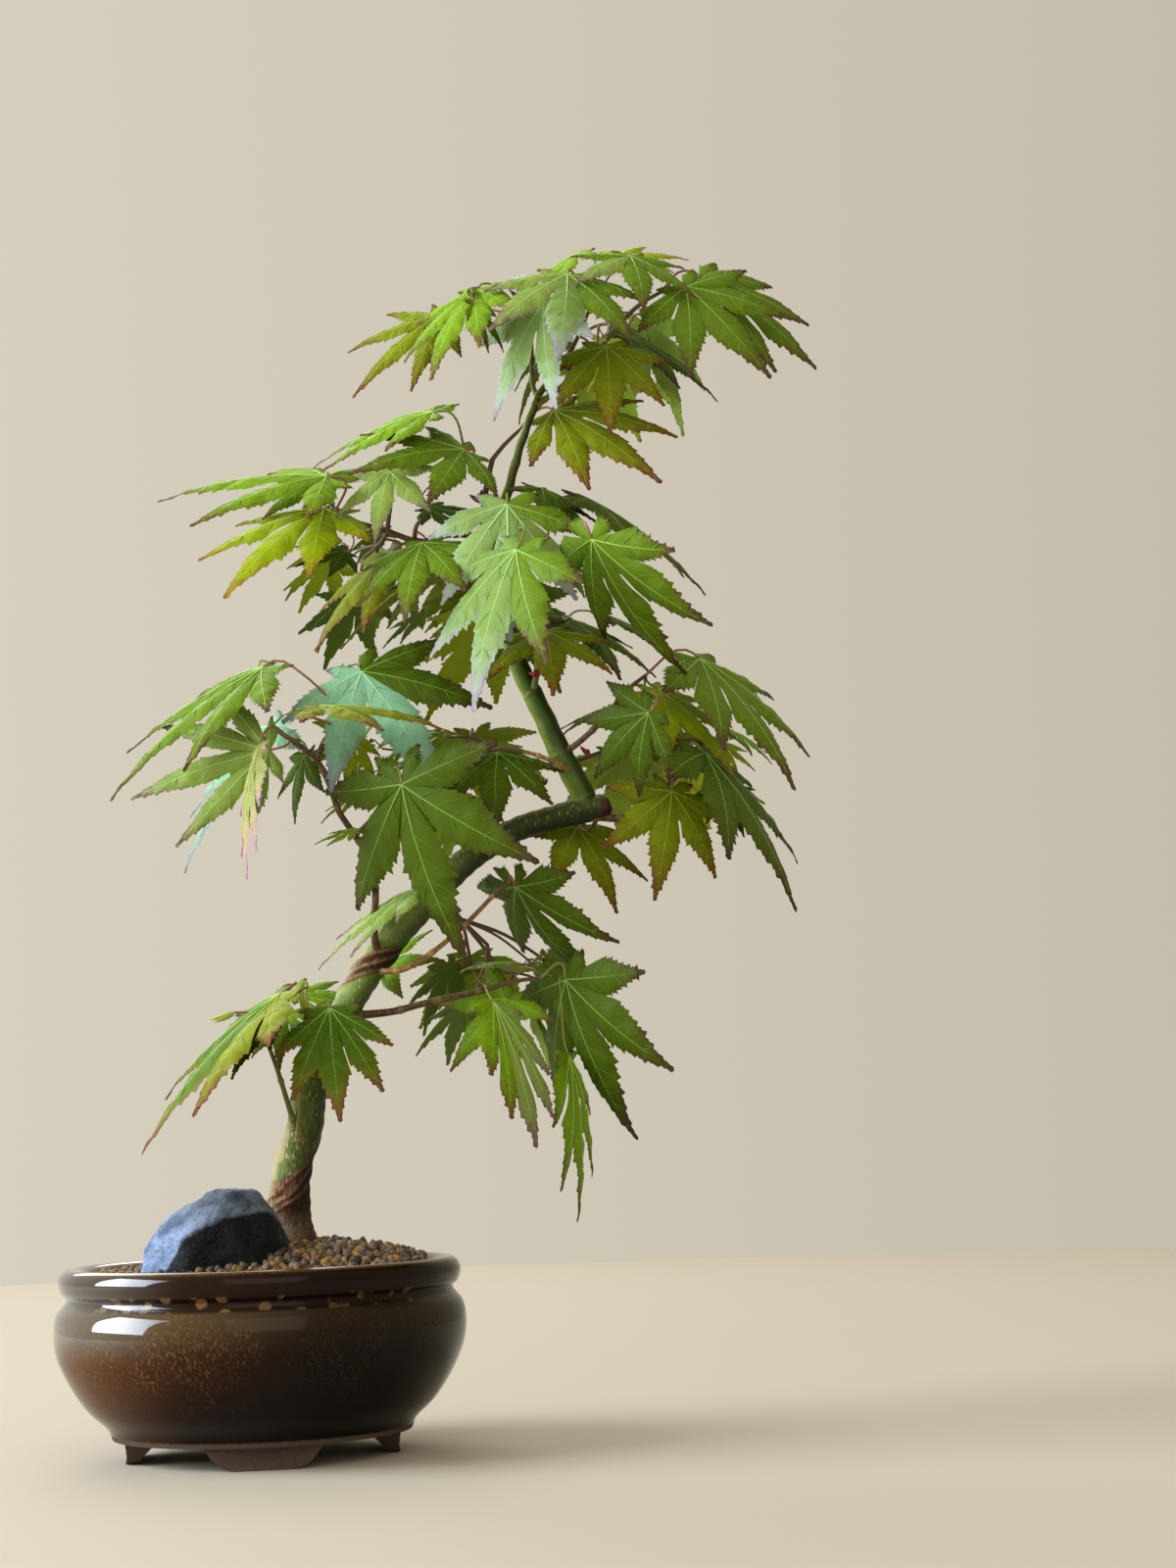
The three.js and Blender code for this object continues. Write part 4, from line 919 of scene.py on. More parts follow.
def leader_finish():
    """Smooth green bark, tan at the rings left by old leaves, with painted light on the left and painted
    shade on the right.
    """
    f = Finish("leader_bark", 0.42, Specular_IOR_Level=0.25)
    at = f.place()
    ring = f.mark("scar")
    patches = f.grain(at, 0.016, 3)
    fine = f.grain(f.flat(at, 0.2), 0.0009, 3)
    # olive higher up; painted light makes it yellower on the left, and painted shade darker on the right
    side = f.mark("side") + patches * 0.2 - 0.1
    f.set("Base Color", f.layers(
        f.mix(f.ramp(patches, 0.3, 0.7), "3f580f", "5c7622"),
        (f.ramp(fine, 0.55, 0.8) * 0.4, "2c4010"),
        (f.ramp(f.parts(at)[2] / MM, 274, 298) * 0.6, "5a521a"),
        (ring * 0.55, f.mix(fine, "6a4f2c", "a8925c")),
        (f.ramp(side, 0.2, 0.85) * 0.8, "1b2507"),
        (f.ramp(side, 0.0, 0.3, 0.75, 0.0), "93a636")))
    f.bump(fine * 0.4 + ring * fine, 0.0004, 0.5)
    return f.material


def twig_finish(name, first, second):
    f = Finish(name, 0.5, Specular_IOR_Level=0.25)
    fine = f.grain(f.flat(f.place(), 0.5), 0.0012, 3)
    f.set("Base Color", f.mix(f.ramp(fine + f.mark("scar") * 0.4, 0.4, 0.75), first, second))
    f.bump(fine, 0.0003, 0.5)
    return f.material


class MakeBark(bpy.types.Operator):
    """Makes the scarred trunk, the green leader and the boughs"""
    bl_idname = "bonsai.bark"
    bl_label = "Trunk and boughs"

    def execute(self, context):
        limbs = dict(LIMBS)
        self.trunk(context.scene.bonsai_bark, limbs.pop("trunk"))
        self.leader(limbs.pop("leader"))
        finishes = [twig_finish("bough_brown", "4a3420", "75603a"),
                    twig_finish("bough_olive", "5e6a2c", "86793f"),
                    twig_finish("bough_tan", "7d5a33", "a8844f")]
        pick = {"bough_red": 2, "shoot_leader_foot": 2, "shoot_lower_left": 1, "shoot_lower_front": 1,
                "shoot_leader": 1, "bough_top_right": 1, "shoot_apex": 1}
        steps, sides = BOUGH_GRID
        pile, knots = Pile(), []
        for name, stations in limbs.items():

            def relief(far, angle, at, length=len(name)):
                knot = np.exp(-(((far + length) % 13 - 6.5) / 0.7) ** 2)
                collar = np.exp(-far / 1.6)
                return 0.28 * knot + 0.7 * collar, np.maximum(knot, collar)

            points, faces, marks = sweep(curve(stations, steps), sides, relief)
            knots.append(marks[0])
            pile.add(points, faces, pick.get(name, 0))
        pile.piece("boughs", finishes, "twig_bark", limbs, scar=np.concatenate(knots))
        return {"FINISHED"}

    def trunk(self, settings, stations):
        deep = settings.groove / MM
        steps, sides = TRUNK_GRID
        places = curve([*stations, (115.6, 0, 202.4, 3.2), (116.3, 0, 202.6, 1.6)], steps)
        # where the wire's scar crosses the front of the trunk: its turn grows by one from each to the next
        crossings = np.interp([38, 81, 126, 153, 181], places[:, 2], lengths(places))

        def relief(far, angle, at):
            height, end = at[..., 2], far[-1, 0]
            turn = np.interp(far, crossings, np.arange(5) * 2 * np.pi)
            rise = np.interp(far, crossings[:-1], np.diff(crossings) / (2 * np.pi))
            off = (np.mod(angle - turn + np.pi, 2 * np.pi) - np.pi) * rise
            within = smooth(far, 8, 14) * (1 - smooth(far, crossings[3] + 8, crossings[3] + 13))
            band = np.exp(-(off / 6.2) ** 4) * within
            ridges = np.cos(off * 2 * np.pi / 4.9)
            foot = 1 - smooth(height + 3 * np.cos(angle + 0.8), 84, 92)
            low = 1 - smooth(height, 66, 74)
            flutes = np.cos(3 * angle + 0.7) * 0.5 + np.cos(5 * angle + 2) * 0.3
            twist = np.cos(2 * angle - far / 5.2) + 0.4 * np.cos(5 * angle - far / 3.6)
            ring = [(math.cos(a) * 0.8, math.sin(a) * 0.8) for a in angle[0]]
            lumps = np.array([[noise.fractal(Vector((d * 0.09, *place)), 1, 2, 3) for place in ring]
                              for d in far[:, 0]])
            extra = band * (0.55 * ridges + 0.3) - deep * np.exp(-(off / 1.1) ** 2) * within
            extra = extra + foot * (twist * 0.5 * (1 - low) + flutes * 0.6 * low) + lumps * 0.2
            extra = extra + 0.1 * np.cos(far * 1.4 + np.cos(angle)) * (1 - band)
            taper = np.interp(far, [end - 2.4, end], [1, 0.2])
            scar = np.clip(band + foot + smooth(far, end - 4, end - 2.5), 0, 1)
            ridge = np.clip(np.maximum(ridges * band, twist * 0.6 * foot), 0, 1)
            # shade: a painted shadow of the leaves on the upper trunk
            shade = 0.85 * smooth(height, 176, 192)
            # the outer bark has come away on the left, in two places, and its tan there is partly a painted
            # highlight
            peeled = sum(np.exp(-((height - place) / reach) ** 4) for place, reach in ((119, 6), (96, 5)))
            peel = smooth(-np.sin(angle), 0.2, 0.9) * peeled
            # the last value runs from 0 on the left to 1 on the right, for the bark's painted light and
            # painted shade
            return extra * taper, scar, ridge, shade, peel, 0.5 + 0.5 * np.sin(angle)

        points, faces, (scar, ridge, shade, peel, side) = sweep(places, sides, relief)
        Pile((points, faces)).piece("trunk_bark", [bark_finish(settings)], "bark", ["trunk"],
                                    scar=scar, ridge=ridge, shade=shade, peel=peel, side=side)

    def leader(self, stations):
        steps, sides = LEADER_GRID
        places = curve(stations, steps)
        rings = np.interp([205, 219, 240, 263, 287, 295, 317, 337], places[:, 2], lengths(places))

        def relief(far, angle, at):
            knot = sum(np.exp(-((far - r - 0.5 * np.cos(angle + r)) / 0.55) ** 2) for r in rings)
            lumps = 0.12 * np.cos(far * 0.7 + np.sin(angle) * 2)
            extra = 0.2 * knot + lumps + 0.5 * np.exp(-far / 3)
            # the last value runs from 0 on the left to 1 on the right, for the finish's painted light and
            # painted shade
            return extra, np.clip(knot, 0, 1), 0.5 + 0.5 * np.sin(angle)

        points, faces, (scar, side) = sweep(places, sides, relief)
        Pile((points, faces)).piece("leader_bark", [leader_finish()], "green_bark", ["leader"],
                                    scar=scar, side=side)


# The leaves


class Blade:
    """One leaf in its pose. A place on it is told from the heart, along the middle lobe and to its left."""

    def __init__(self, pose):
        x, y, z, heading, dip, roll, self.length, self.spread, self.width = pose[:9]
        h, d, r = (math.radians(v) for v in (heading, dip, roll))
        along = np.array([math.cos(d) * math.cos(h), math.cos(d) * math.sin(h), -math.sin(d)])
        up = np.array([math.sin(d) * math.cos(h), math.sin(d) * math.sin(h), math.cos(d)])
        left = np.cross(up, along)
        self.heart = np.array([x, y, z], float)
        self.along = along
        self.left = left * math.cos(r) + up * math.sin(r)
        self.up = up * math.cos(r) - left * math.sin(r)

    def at(self, u, v, lift=0.0):
        u, v, lift = np.broadcast_arrays(np.asarray(u, float), v, lift)
        drop = DROOP * (u * u + v * v) / self.length
        return (self.heart + u[..., None] * self.along + v[..., None] * self.left
                + (lift - drop)[..., None] * self.up)

    def spots(self):
        """Places spread over the blade, to tell how close it comes to anything."""
        places = [self.heart]
        for turn, reach in LOBES:
            a = math.radians(turn * self.spread)
            for share in (0.3, 0.55, 0.8, 1):
                for side in (-0.1, 0, 0.1) if share < 0.7 else (0,):
                    u = self.length * (share * reach * math.cos(a) - side * math.sin(a))
                    v = self.length * (share * reach * math.sin(a) + side * math.cos(a))
                    places.append(self.at(u, v))
        return np.array(places)


def limb_points():
    """Places along every limb, each with the limb's radius there."""
    rows = []
    for _, stations in LIMBS:
        for a, b in zip(np.array(stations, float), np.array(stations[1:], float)):
            rows += [a + (b - a) * share for share in (0, 0.25, 0.5, 0.75, 1)]
    return np.array(rows)


def far_from(places, others, distance):
    """Whether all the places keep a distance from the others, or from the bark where those have a radius."""
    gaps = np.linalg.norm(places[:, None] - others[None, :, :3], axis=2)
    if others.shape[1] == 4:
        gaps = gaps - others[None, :, 3]
    return bool(np.all(gaps > distance))


def grow(stem, rule, taken, wood, sizes=(34, 50), petiole=(9, 3), clear=(5, 4.5), tries=200):
    """Leaves in pairs at the ends of twigs, skipped where they would leave their space or touch."""
    seed, count, middle, reach = rule
    draw = Draws(seed)
    middle, reach = np.array(middle, float), np.array(reach, float)
    stem = [np.array(p, float) for p in stem]
    twigs, grown = [], 0
    for _ in range(tries):
        if grown >= count:
            break
        around, lift, out = 2 * math.pi * draw(), 2 * draw() - 1, 0.1 + 0.35 * draw()
        flat = math.sqrt(1 - lift * lift)
        end = middle + reach * np.array([flat * math.cos(around), flat * math.sin(around), lift]) * out
        root = stem[1 + int((len(stem) - 1) * draw())]
        outward = math.degrees(math.atan2(end[1] - stem[0][1], end[0] - stem[0][0]))
        facing = outward + 50 * (draw() - 0.5)
        twig = np.array([root + (end - root) * share for share in (0.25, 0.5, 0.75, 1)])
        if not far_from(twig, np.vstack(taken), clear[0]):
            continue
        leaves = []
        for side in (-1, 1):
            heading = facing + side * 40
            h = math.radians(heading)
            x, y, z = end + (petiole[0] * math.cos(h), petiole[0] * math.sin(h), petiole[1])
            dip, roll = 20 + 35 * draw(), 40 * (draw() - 0.5)
            length, spread = sizes[0] + (sizes[1] - sizes[0]) * draw(), 0.85 + 0.25 * draw()
            pose = (x, y, z, heading, dip, roll, length, spread, 1)
            places = Blade(pose).spots()
            inside = np.all(np.sum(((places - middle) / reach) ** 2, axis=1) < 1)
            if (inside and far_from(places, wood, 2.5) and far_from(places, np.vstack(taken), clear[1])
                    and grown < count):
                leaves.append(pose)
                taken.append(places)
                grown += 1
        if leaves:
            bend = (root + end) / 2 + (0, 0, 2)
            twigs.append((root, bend, end, leaves))
    return twigs


class Sheet:
    """The points and triangles of one leaf. Its first two points are the heart above and below."""

    def __init__(self, blade, half):
        self.points = [blade.at(0, 0, half)[None], blade.at(0, 0, -half)[None]]
        self.size, self.faces, self.finish = 2, [], []

    def put(self, places):
        """Adds places and returns their numbers."""
        self.points.append(np.atleast_2d(places))
        first, self.size = self.size, self.size + len(self.points[-1])
        return np.arange(first, self.size)

    def cover(self, faces, finish, flip):
        self.faces.append(faces[:, ::-1] if flip else faces)
        self.finish.append(finish)

    def mesh(self):
        return np.vstack(self.points), np.vstack(self.faces), np.concatenate(self.finish)


class Lobe:
    """One lobe between two slits. A place on it is told along its own line, which bows and sags, and to
    its left."""

    def __init__(self, blade, turn, reach, slits, ribbed, draw):
        length = blade.length
        self.blade, self.turn, self.reach, self.slits = blade, math.radians(turn), reach, slits
        self.far = reach * length
        self.widest = LOBE_HALF * blade.width * length * math.sqrt(reach)
        self.gaps = [abs(slit[0] - self.turn) for slit in slits]
        start = max(slit[1] * math.cos(gap) for slit, gap in zip(slits, self.gaps)) + 0.02 * length * reach
        self.start = max(start, 0.04 * length)
        self.bow = BOW * self.far * (draw() - 0.5) * 2 * (1 - 0.5 * ribbed)
        self.sag = SAG * (draw() - 0.3)
        self.wave = draw() * 6.28

    def at(self, d, w, lift):
        aside = w + self.bow * np.sin(np.pi * np.clip(d / self.far, 0, 1))
        u = d * math.cos(self.turn) - aside * math.sin(self.turn)
        v = d * math.sin(self.turn) + aside * math.cos(self.turn)
        return self.blade.at(u, v, lift - self.sag * d * d / self.blade.length)


class LeafMaker:
    """Makes leaves, fine or plainer, and gathers their ribs."""

    def __init__(self, settings, tints):
        self.settings, self.tints = settings, tints
        self.half = settings.thickness / MM / 2
        self.ribs = Pile()

    def add(self, pile, pose, tint, draw, fine=True):
        blade = Blade(pose)
        sheet = Sheet(blade, self.half)
        rear = min(LOBES[-1][0] * blade.spread + 42, REAR_MOST)
        lobes = [(turn * blade.spread, reach) for turn, reach in LOBES]
        lobes = [(-rear, REAR_REACH), *lobes, (rear, REAR_REACH)]
        slits = self.slits(sheet, blade, lobes, draw)
        columns = self.columns(fine)
        for n, (turn, reach) in enumerate(lobes):
            ribbed = 0 < n < len(lobes) - 1
            lobe = Lobe(blade, turn, reach, slits[n:n + 2], ribbed, draw)
            first = self.tints.index(tint[min(max(n - 1, 0), len(tint) - 1)]) * TONES
            d = lobe.start + (lobe.far - lobe.start) * columns[1]
            rib = [sheet.put(lobe.at(d, 0 * d, k * self.half)) for k in (1, -1)]
            tip = sheet.put(lobe.at(np.array(lobe.far), 0, 0))[0]
            for k in (0, 1):
                edge = self.half_lobe(sheet, lobe, k, d, rib, tip, columns, first, draw)
                if ribbed and fine:
                    self.side_ribs(lobe, k, d, edge, first)
            if ribbed:
                self.main_rib(lobe, first, fine)
        pile.add(*sheet.mesh())

    def columns(self, fine):
        """The number of teeth and, along a lobe from its slit to its tip, the share of the way, the tooth's
        swelling and its lean."""
        teeth = self.settings.teeth if fine else max(4, self.settings.teeth - 3)
        rows = []
        for i in range(teeth):
            rows.append((i / teeth, -0.15, 0))
            if fine:
                rows += [((i + 0.3) / teeth, 0.42, 0.2), ((i + 0.42) / teeth, 0.12, 0.1)]
            rows.append(((i + 0.82) / teeth, 1.0, 0.4))
        return teeth, *np.array(rows).T

    def slits(self, sheet, blade, lobes, draw):
        """The slits between the lobes and the notch behind the heart, each with its turn, how far from the
        heart it ends and the number of its point."""
        length, found = blade.length, []
        for (turn, reach), (other, further) in zip(lobes, lobes[1:]):
            deep = SLIT * (0.9 + 0.3 * draw()) * length * min(reach, further) ** 0.6
            a = math.radians((turn + other) / 2)
            bottom = blade.at(deep * math.cos(a), deep * math.sin(a), -0.3 * EDGE_DROP * length)
            found.append((a, deep, sheet.put(bottom)[0]))
        notch = (0.02 * length, sheet.put(blade.at(-0.02 * length, 0))[0])
        return [(-math.pi, *notch), *found, (math.pi, *notch)]

    def half_lobe(self, sheet, lobe, k, d, rib, tip, columns, first, draw):
        """The right half of a lobe or, with k as 1, the left one: its teeth, its puckers and its tones."""
        teeth, share, swell, lean = columns
        length, side = lobe.blade.length, (-1, 1)[k]
        fade = np.clip((share - 0.03) / 0.2, 0, 1) * (1 - 0.5 * share)
        uneven = np.array([0.55 + 0.9 * draw() for _ in range(teeth)])
        tooth = self.settings.tooth * length * lobe.blade.width * swell * fade
        tooth = tooth * uneven[(share * teeth + 0.01).astype(int)]
        room = d * math.tan(min(lobe.gaps[k], 1.3)) - 0.15
        plump = lobe.widest * np.interp(d / lobe.far, *LOBE_WIDTH.T)
        edge = np.maximum(np.minimum(plump + tooth, room), 0.12)
        ahead = d + lean * 0.03 * length * fade * (1 - share)
        full = np.minimum(edge / lobe.widest, 1) ** 2
        across = []
        for part in ACROSS:
            pucker = 0.009 * length * np.sin(d / length * 34 + lobe.wave - part * 2.5)
            pucker = pucker * np.minimum(share * 4, 1) * (1 - part) * 1.6
            lift = -EDGE_DROP * length * part ** 2 * full + pucker
            line = d + (ahead - d) * part ** 3
            across.append([sheet.put(lobe.at(line, side * edge * part, lift + m * self.half))
                           for m in (1, -1)])
        ripple = 0.004 * length * np.sin(d / length * 25 + lobe.wave)
        margin = sheet.put(lobe.at(ahead, side * edge, -EDGE_DROP * length * full + ripple))
        tone = share * 0.74 + 0.1 + 0.08 * np.array([draw() - 0.5 for _ in share])
        # the upper side, then the underside
        for m in (0, 1):
            rows = [rib[m], *(row[m] for row in across), margin]
            flip = k == m
            for j, (b, c) in enumerate(zip(rows, rows[1:])):
                quads = np.vstack([
                    np.stack([b[:-1], b[1:], c[1:]], 1), np.stack([b[:-1], c[1:], c[:-1]], 1),
                    [[b[-1], tip, c[-1]], [m, b[0], c[0]]]])
                level = np.digitize(tone[:-1] + (0, 0.05, 0.2)[j], (0.4, 0.56, 0.7, 0.84))
                if m:
                    level = np.where(level >= 4, 4, 5)
                level = np.concatenate([level, level, [5 if m and j < 2 else 4], [5 * m]])
                sheet.cover(quads, first + level, flip)
            sheet.cover(np.array([[m, margin[0], lobe.slits[k][2]]]), [first + 5 * m], flip)
        return edge

    def main_rib(self, lobe, first, fine):
        ways = np.linspace(0, 0.95 if fine else 0.85, 12 if fine else 6) * lobe.far
        line = lobe.at(ways, 0 * ways, 0.06)
        line[0] = lobe.blade.at(0, 0, 0.06)
        thick = self.settings.vein / MM * (lobe.blade.length / 50) ** 0.5 * np.linspace(1, 0.25, len(ways))
        self.ribs.tube(np.hstack([line, thick[:, None] * (0.8 + 0.2 * lobe.reach)]), 4, first + 6)

    def side_ribs(self, lobe, k, d, edge, first):
        for i in range(6):
            root = lobe.far * (0.16 + 0.12 * i)
            reach = np.interp(root + 0.1 * lobe.far, d, edge) * 0.82
            if reach < 1.2:
                continue
            ways = np.array([0, 0.4, 0.75, 1])
            off = reach * ways
            ahead = root + off * (0.75 + 0.25 * ways)
            fall = -EDGE_DROP * lobe.blade.length * (off / max(edge.max(), 1)) ** 2
            line = lobe.at(ahead, (-1, 1)[k] * off, fall + self.half - 0.03)
            self.ribs.tube(np.hstack([line, [[0.14], [0.12], [0.1], [0.06]]]), 4, first + 7)


def petiole_path(pose, stem):
    """From the nearest place on the stem, arching over to the heart of the blade."""
    blade = Blade(pose)
    heart, end = (blade.heart - share * blade.length * blade.along for share in (NOTCH, 0.01))
    if len(pose) > 10:
        far = np.array(pose[10], float)
        return [far, (far + heart) / 2 + (0, 0, 2), heart, end]
    root, nearest = np.array(stem[0], float), math.inf
    for a, b in zip(stem, stem[1:]):
        a, b = np.array(a, float), np.array(b, float)
        share = np.clip((heart - a) @ (b - a) / max((b - a) @ (b - a), 1e-9), 0, 1)
        place = a + (b - a) * share
        gap = np.linalg.norm(place - heart)
        if gap < nearest:
            root, nearest = place, gap
    if nearest < 2:
        root = np.array(stem[0], float)
    bend = heart - 0.18 * max(nearest, 2) * blade.along
    bend = bend + (root - bend) * 0.2
    return [root, bend, heart, end]


GROUPS = {
    "leaves_top": ("top_centre", "top_right", "top_left", "top_under"),
    "leaves_upper": ("upper_middle", "upper_left_back", "upper_left_tip", "upper_left_front",
                     "upper_left_low"),
    "leaves_centre": ("centre_front", "centre_right", "centre_low"),
    "leaves_left": ("left_middle", "left_front", "big_leaf", "elbow"),
    "leaves_right": ("right_middle", "right_low", "under_elbow"),
    "leaves_low": ("lower_right_high", "lower_right", "lower_left", "lower_left_front", "trunk_front",
                   "trunk_back"),
    "leaves_back": ("back_top", "back_upper", "back_left", "back_middle", "back_right", "back_low"),
}


class MakeLeaves(bpy.types.Operator):
    """Makes the leaves in their places and grows the rest by rule, with ribs, petioles and twigs"""
    bl_idname = "bonsai.leaves"
    bl_label = "Leaves"

    def execute(self, context):
        finishes = []
        for letter, tones in TINTS.items():
            tones = [paint(tone) for tone in tones]
            # the side ribs' tone, between the blade's and the ribs'
            tones.append(tuple(0.62 * a + 0.38 * b for a, b in zip(tones[0], tones[6])))
            finishes += [Finish(f"leaf_{letter}{i}", 0.62 if i == 5 else 0.5, Specular_IOR_Level=0.1,
                                Base_Color=tone).material for i, tone in enumerate(tones)]
        maker = LeafMaker(context.scene.bonsai_leaf, list(TINTS))
        wood = limb_points()
        taken = [Blade(leaf).spots() for mass in MASSES for leaf in mass[2]]
        piles = {name: Pile() for name in GROUPS}
        twigs = Pile()
        draw = Draws(8)

        def leaf(pose, tint, stem, fine=True):
            """A leaf with its petiole, red or green, which is thinner on a small leaf."""
            maker.add(pile, pose, tint, draw, fine)
            path = curve([(*p, 0) for p in petiole_path(pose, stem)], 9)
            path[:, 3] = np.linspace(*PETIOLE, len(path)) * (min(pose[6], 45) / 45) ** 0.5
            red = draw() < 0.45
            twigs.tube(path, 6, 0 if red or tint[0] in "gopr" else 1)

        def twig(stations, radii):
            twigs.tube(curve([(*p, r) for p, r in zip(stations, radii)], 10), 7, 2)

        def dress(shoots, radii, deal, fine):
            """Grown twigs with their leaves, and the tints dealt out among them."""
            for root, bend, end, poses in shoots:
                twig((root, bend, end), radii)
                places.extend((bend, end))
                for pose in poses:
                    leaf(pose, deal[int(6 * draw())], (bend, end), fine)

        for name, stem, poses, *rule in MASSES:
            pile = piles[next(group for group, names in GROUPS.items() if name in names)]
            twig(stem, STEM)
            for pose in poses:
                leaf(pose, pose[9], stem)
            for seed, count, *space in rule:
                places = [np.array(p, float) for p in stem]
                dress(grow(stem, (seed, count, *space), taken, wood), TWIG, "dgfoyg", True)
                # finer twigs with smaller leaves, by the same rule in the same space
                finer = grow(places, (seed + 100, 3 * count, *space), taken, wood,
                             sizes=(15, 30), petiole=(5, 2), clear=(2.5, 3), tries=160)
                dress(finer, FINE_TWIG, "gffody", False)
        piles["leaf_ribs"] = maker.ribs
        for name, pile in piles.items():
            used, finish = np.unique(np.concatenate(pile.finish), return_inverse=True)
            pile.finish = [finish]
            pile.piece(name, [finishes[i] for i in used], "leaf",
                       ["foliage_" + part for part in GROUPS.get(name, ())])
        twigs.piece("petioles_and_twigs", [
            plain("petiole_red", "96604a", 0.45), plain("petiole_green", "7d7a3a", 0.45),
            plain("twig_tan", "5d4428", 0.55)], "twig_bark")
        return {"FINISHED"}


# The buds

BUDS = [(91.6, 5, 374.2, 4.5, 3), (96.7, 4, 348.5, 4, 3), (107.8, 2, 347.6, 4, 3), (76.6, 5, 305.5, 5, 5),
        (93.4, -4, 244.9, 4.5, 4), (103, 0, 217.8, 4, 4), (109.5, 0, 219.2, 4, 3), (95.2, -6, 209.2, 3, 3)]
# Young leaves still folded: base, tip and the number of leaves
YOUNG = [((16.8, -11, 137), (16.2, -11, 148), 3), ((-5.7, -8, 138.9), (-13.5, -8.5, 136.1), 2)]
YOUNG_STEMS = [((4, -8, 129), (0.5, -8, 137), (-0.7, -8, 138.5), (-5.9, -8, 138.9))]


def bud_places(base, way, long, wide):
    share = np.linspace(0, 1, 7)
    radius = np.sin(np.pi * share ** 0.7) ** 0.8 * wide + 0.05
    return np.hstack([base + np.outer(share * long, way), radius[:, None]])


class MakeBuds(bpy.types.Operator):
    """Makes the red buds and the young shoots that are about to open"""
    bl_idname = "bonsai.buds"
    bl_label = "Buds"

    def execute(self, context):
        draw = Draws(29)
        pile = Pile()
        for x, y, z, long, count in BUDS:
            for i in range(count):
                around = 2 * math.pi * (i + draw()) / count
                way = unit(np.array([math.cos(around) * 0.75, math.sin(around) * 0.75, 0.4 + 0.6 * draw()]))
                size = long * (0.7 + 0.5 * draw())
                places = bud_places(np.array([x, y, z]) - way * 0.6, way, size, size * 0.17)
                pile.tube(places, 7, 2 * (draw() < 0.35))
        for base, tip, count in YOUNG:
            base, tip = np.array(base, float), np.array(tip, float)
            long = np.linalg.norm(tip - base)
            for i in range(count):
                around = 2 * math.pi * (i + 0.3) / count
                way = unit((tip - base) / long + 0.14 * np.array([math.cos(around), 0.4, math.sin(around)]))
                pile.tube(bud_places(base, way, long * (1 - 0.12 * i), 0.9), 7, 1 if i < 2 else 3)
        for stem in YOUNG_STEMS:
            pile.tube(curve([(*p, 0.45) for p in stem], 12), 6, 3)
        pile.piece("buds", [plain("bud_red", "8c1d24", 0.4), plain("shoot_young", "9aa53c", 0.45),
                            plain("bud_dark", "4a1519"), plain("shoot_tan", "8a5a33")], "twig_bark")
        return {"FINISHED"}


# The stage

CAMERA_AT = (109.13, -884.35, 97.80)
CAMERA_PITCH, CAMERA_ROLL = 7.2, 1.9
# In metres: the floor's radius, and where the lights aim
FLOOR, FLOOR_SIDES = 1.2, 96
AIM = (0.02, 0, 0.19)


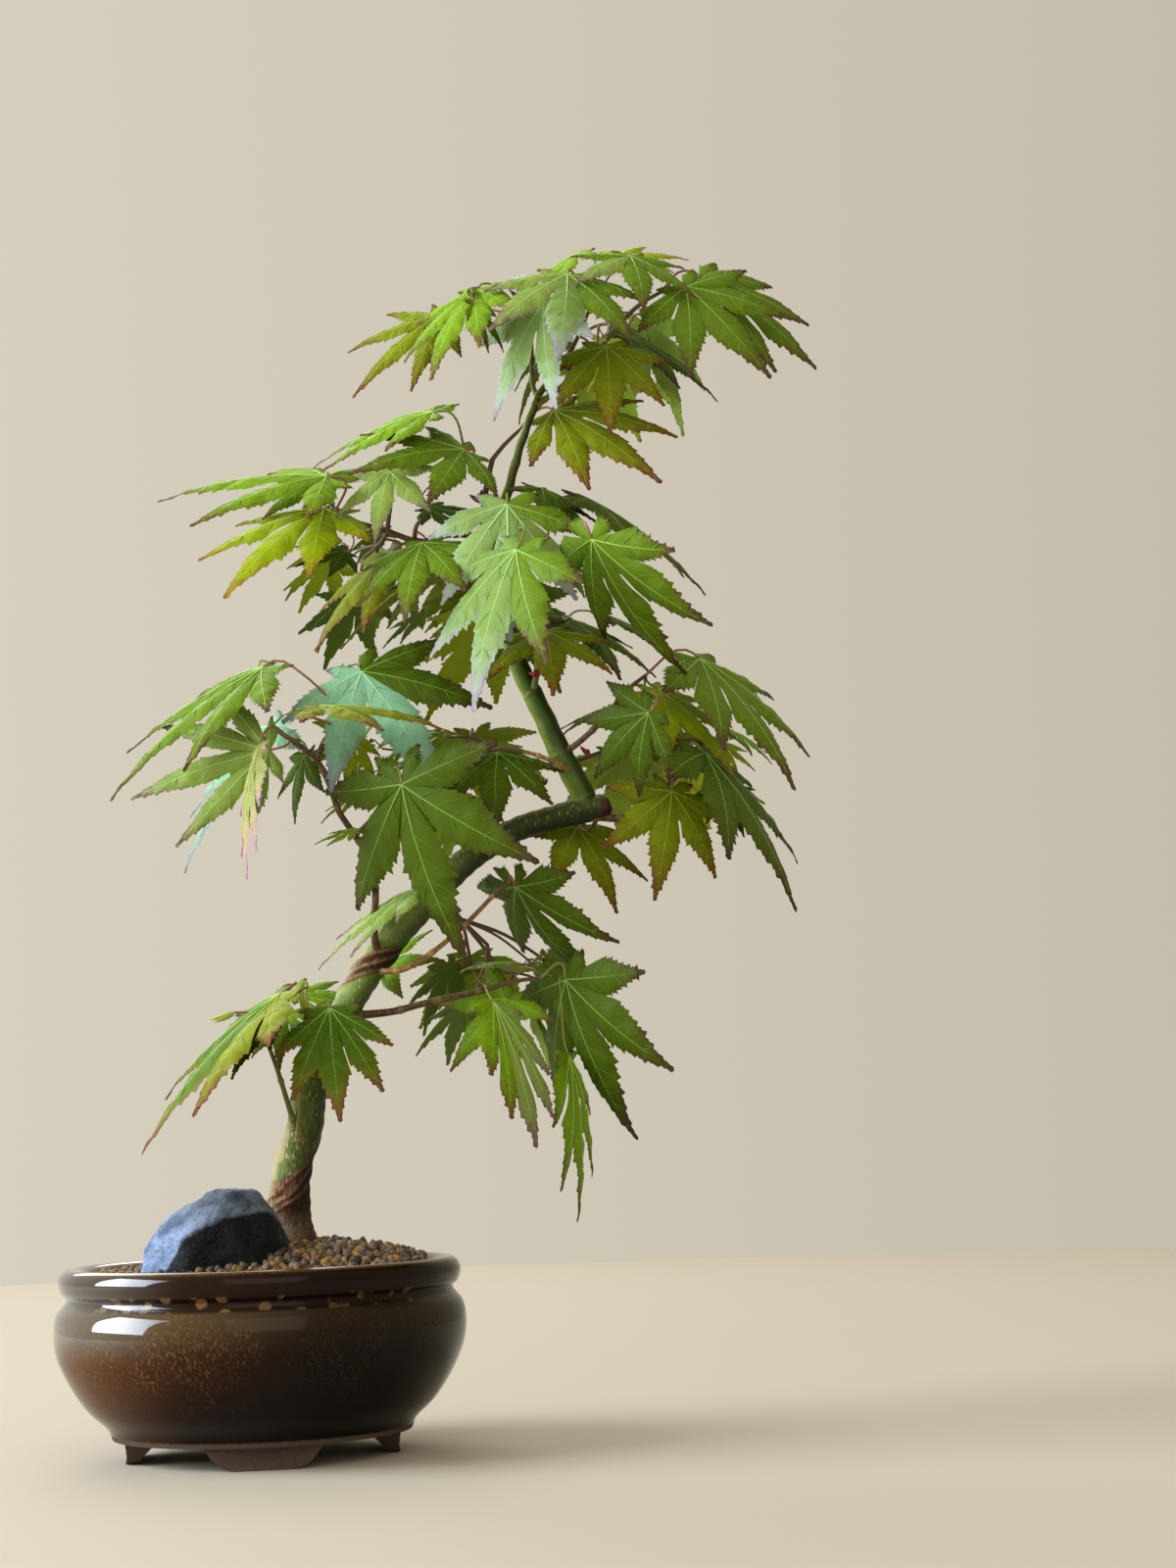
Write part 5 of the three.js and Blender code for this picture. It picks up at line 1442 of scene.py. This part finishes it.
class MakeStage(bpy.types.Operator):
    """Makes the floor, the lights and the camera"""
    bl_idname = "bonsai.stage"
    bl_label = "Stage"

    def execute(self, context):
        settings = context.scene.bonsai_stage
        mesh = bpy.data.meshes.new("floor")
        turns = np.linspace(0, 2 * math.pi, FLOOR_SIDES + 1)[:-1]
        mesh.from_pydata([(FLOOR * math.cos(a), FLOOR * math.sin(a), -0.0001) for a in turns], [],
                         [range(FLOOR_SIDES)])
        f = Finish("pale_floor", 0.85, Specular_IOR_Level=0.05)
        f.set("Base Color", f.mix(f.grain(f.place(), 0.4, 2) * 0.12, settings.floor, "b3aa9a"))
        mesh.materials.append(f.material)
        placed("floor", mesh)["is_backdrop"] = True
        for name, at, size, share, tone in (
                ("window", (-1.5, -0.3, 0.75), 1.15, 1, (0.8, 0.9, 1.0)),
                ("room", (0.2, -1.6, 1.0), 1.4, 0.16, (1.0, 0.95, 0.88)),
                ("back", (-0.5, 1.3, 1.1), 1.0, 0.22, (1.0, 0.97, 0.92))):
            light = bpy.data.lights.new(name, "AREA")
            light.energy, light.size, light.color = settings.window * share, size, tone
            lamp = placed(name, light)
            lamp.location = at
            lamp.rotation_euler = (Vector(AIM) - lamp.location).to_track_quat("-Z", "Y").to_euler()
        # the room is a little brighter towards the window
        world = bpy.data.worlds.new("pale_room")
        world.use_nodes = True
        room = Nodes(world.node_tree)
        across = room.parts(room.node("ShaderNodeTexCoord", out="Generated"))[0]
        share = room.node("ShaderNodeMapRange", {0: across, 1: -0.5, 2: 0.6})
        wall = room.mix(share, (0.76, 0.71, 0.59, 1), (0.44, 0.4, 0.31, 1))
        room.give(room.tree.nodes["Background"], 0, wall)
        context.scene.world = world
        context.scene.view_settings.view_transform = "Standard"
        p, r = math.radians(CAMERA_PITCH), math.radians(CAMERA_ROLL)
        right = Vector((1, 0, 0))
        ahead, up = Vector((0, math.cos(p), math.sin(p))), Vector((0, -math.sin(p), math.cos(p)))
        across, upward = math.cos(r) * right - math.sin(r) * up, math.sin(r) * right + math.cos(r) * up
        camera = placed("camera", bpy.data.cameras.new("camera"))
        camera.data.lens = settings.lens
        camera.data.clip_end = 20
        at = (Vector(CAMERA_AT) + Vector(AXIS)) * MM
        camera.matrix_world = Matrix.Translation(at) @ Matrix((across, upward, -ahead)).transposed().to_4x4()
        context.scene.camera = camera
        return {"FINISHED"}


class BonsaiPanel(bpy.types.Panel):
    bl_idname = "VIEW3D_PT_bonsai"
    bl_label = "Maple bonsai"
    bl_space_type = "VIEW_3D"
    bl_region_type = "UI"
    bl_category = "Bonsai"

    def draw(self, context):
        for maker, group in MAKERS:
            box = self.layout.box()
            box.operator(maker.bl_idname)
            if group:
                settings = getattr(context.scene, group)
                for key in settings.__annotations__:
                    box.prop(settings, key)


GROUPED = {"bonsai_bowl": BowlSettings, "bonsai_gravel": GravelSettings, "bonsai_bark": BarkSettings,
           "bonsai_leaf": LeafSettings, "bonsai_stage": StageSettings}
MAKERS = [(MakeBowl, "bonsai_bowl"), (MakeGravel, "bonsai_gravel"), (MakeRock, None),
          (MakeBark, "bonsai_bark"), (MakeLeaves, "bonsai_leaf"), (MakeBuds, None),
          (MakeStage, "bonsai_stage")]
CLASSES = [*GROUPED.values(), *(maker for maker, _ in MAKERS), BonsaiPanel]


def register():
    for item in CLASSES:
        bpy.utils.register_class(item)
    for name, group in GROUPED.items():
        setattr(bpy.types.Scene, name, PointerProperty(type=group))


def unregister():
    for name in GROUPED:
        delattr(bpy.types.Scene, name)
    for item in reversed(CLASSES):
        bpy.utils.unregister_class(item)


def main():
    register()
    bpy.ops.bonsai.bowl()
    bpy.ops.bonsai.gravel()
    bpy.ops.bonsai.rock()
    bpy.ops.bonsai.bark()
    bpy.ops.bonsai.leaves()
    bpy.ops.bonsai.buds()
    bpy.ops.bonsai.stage()
    boxes = {"cad": CAD_BOX, "visual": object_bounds()}
    {name: [list(corner) for corner in box] for name, box in boxes.items()}


if __name__ == "__main__":
    main()
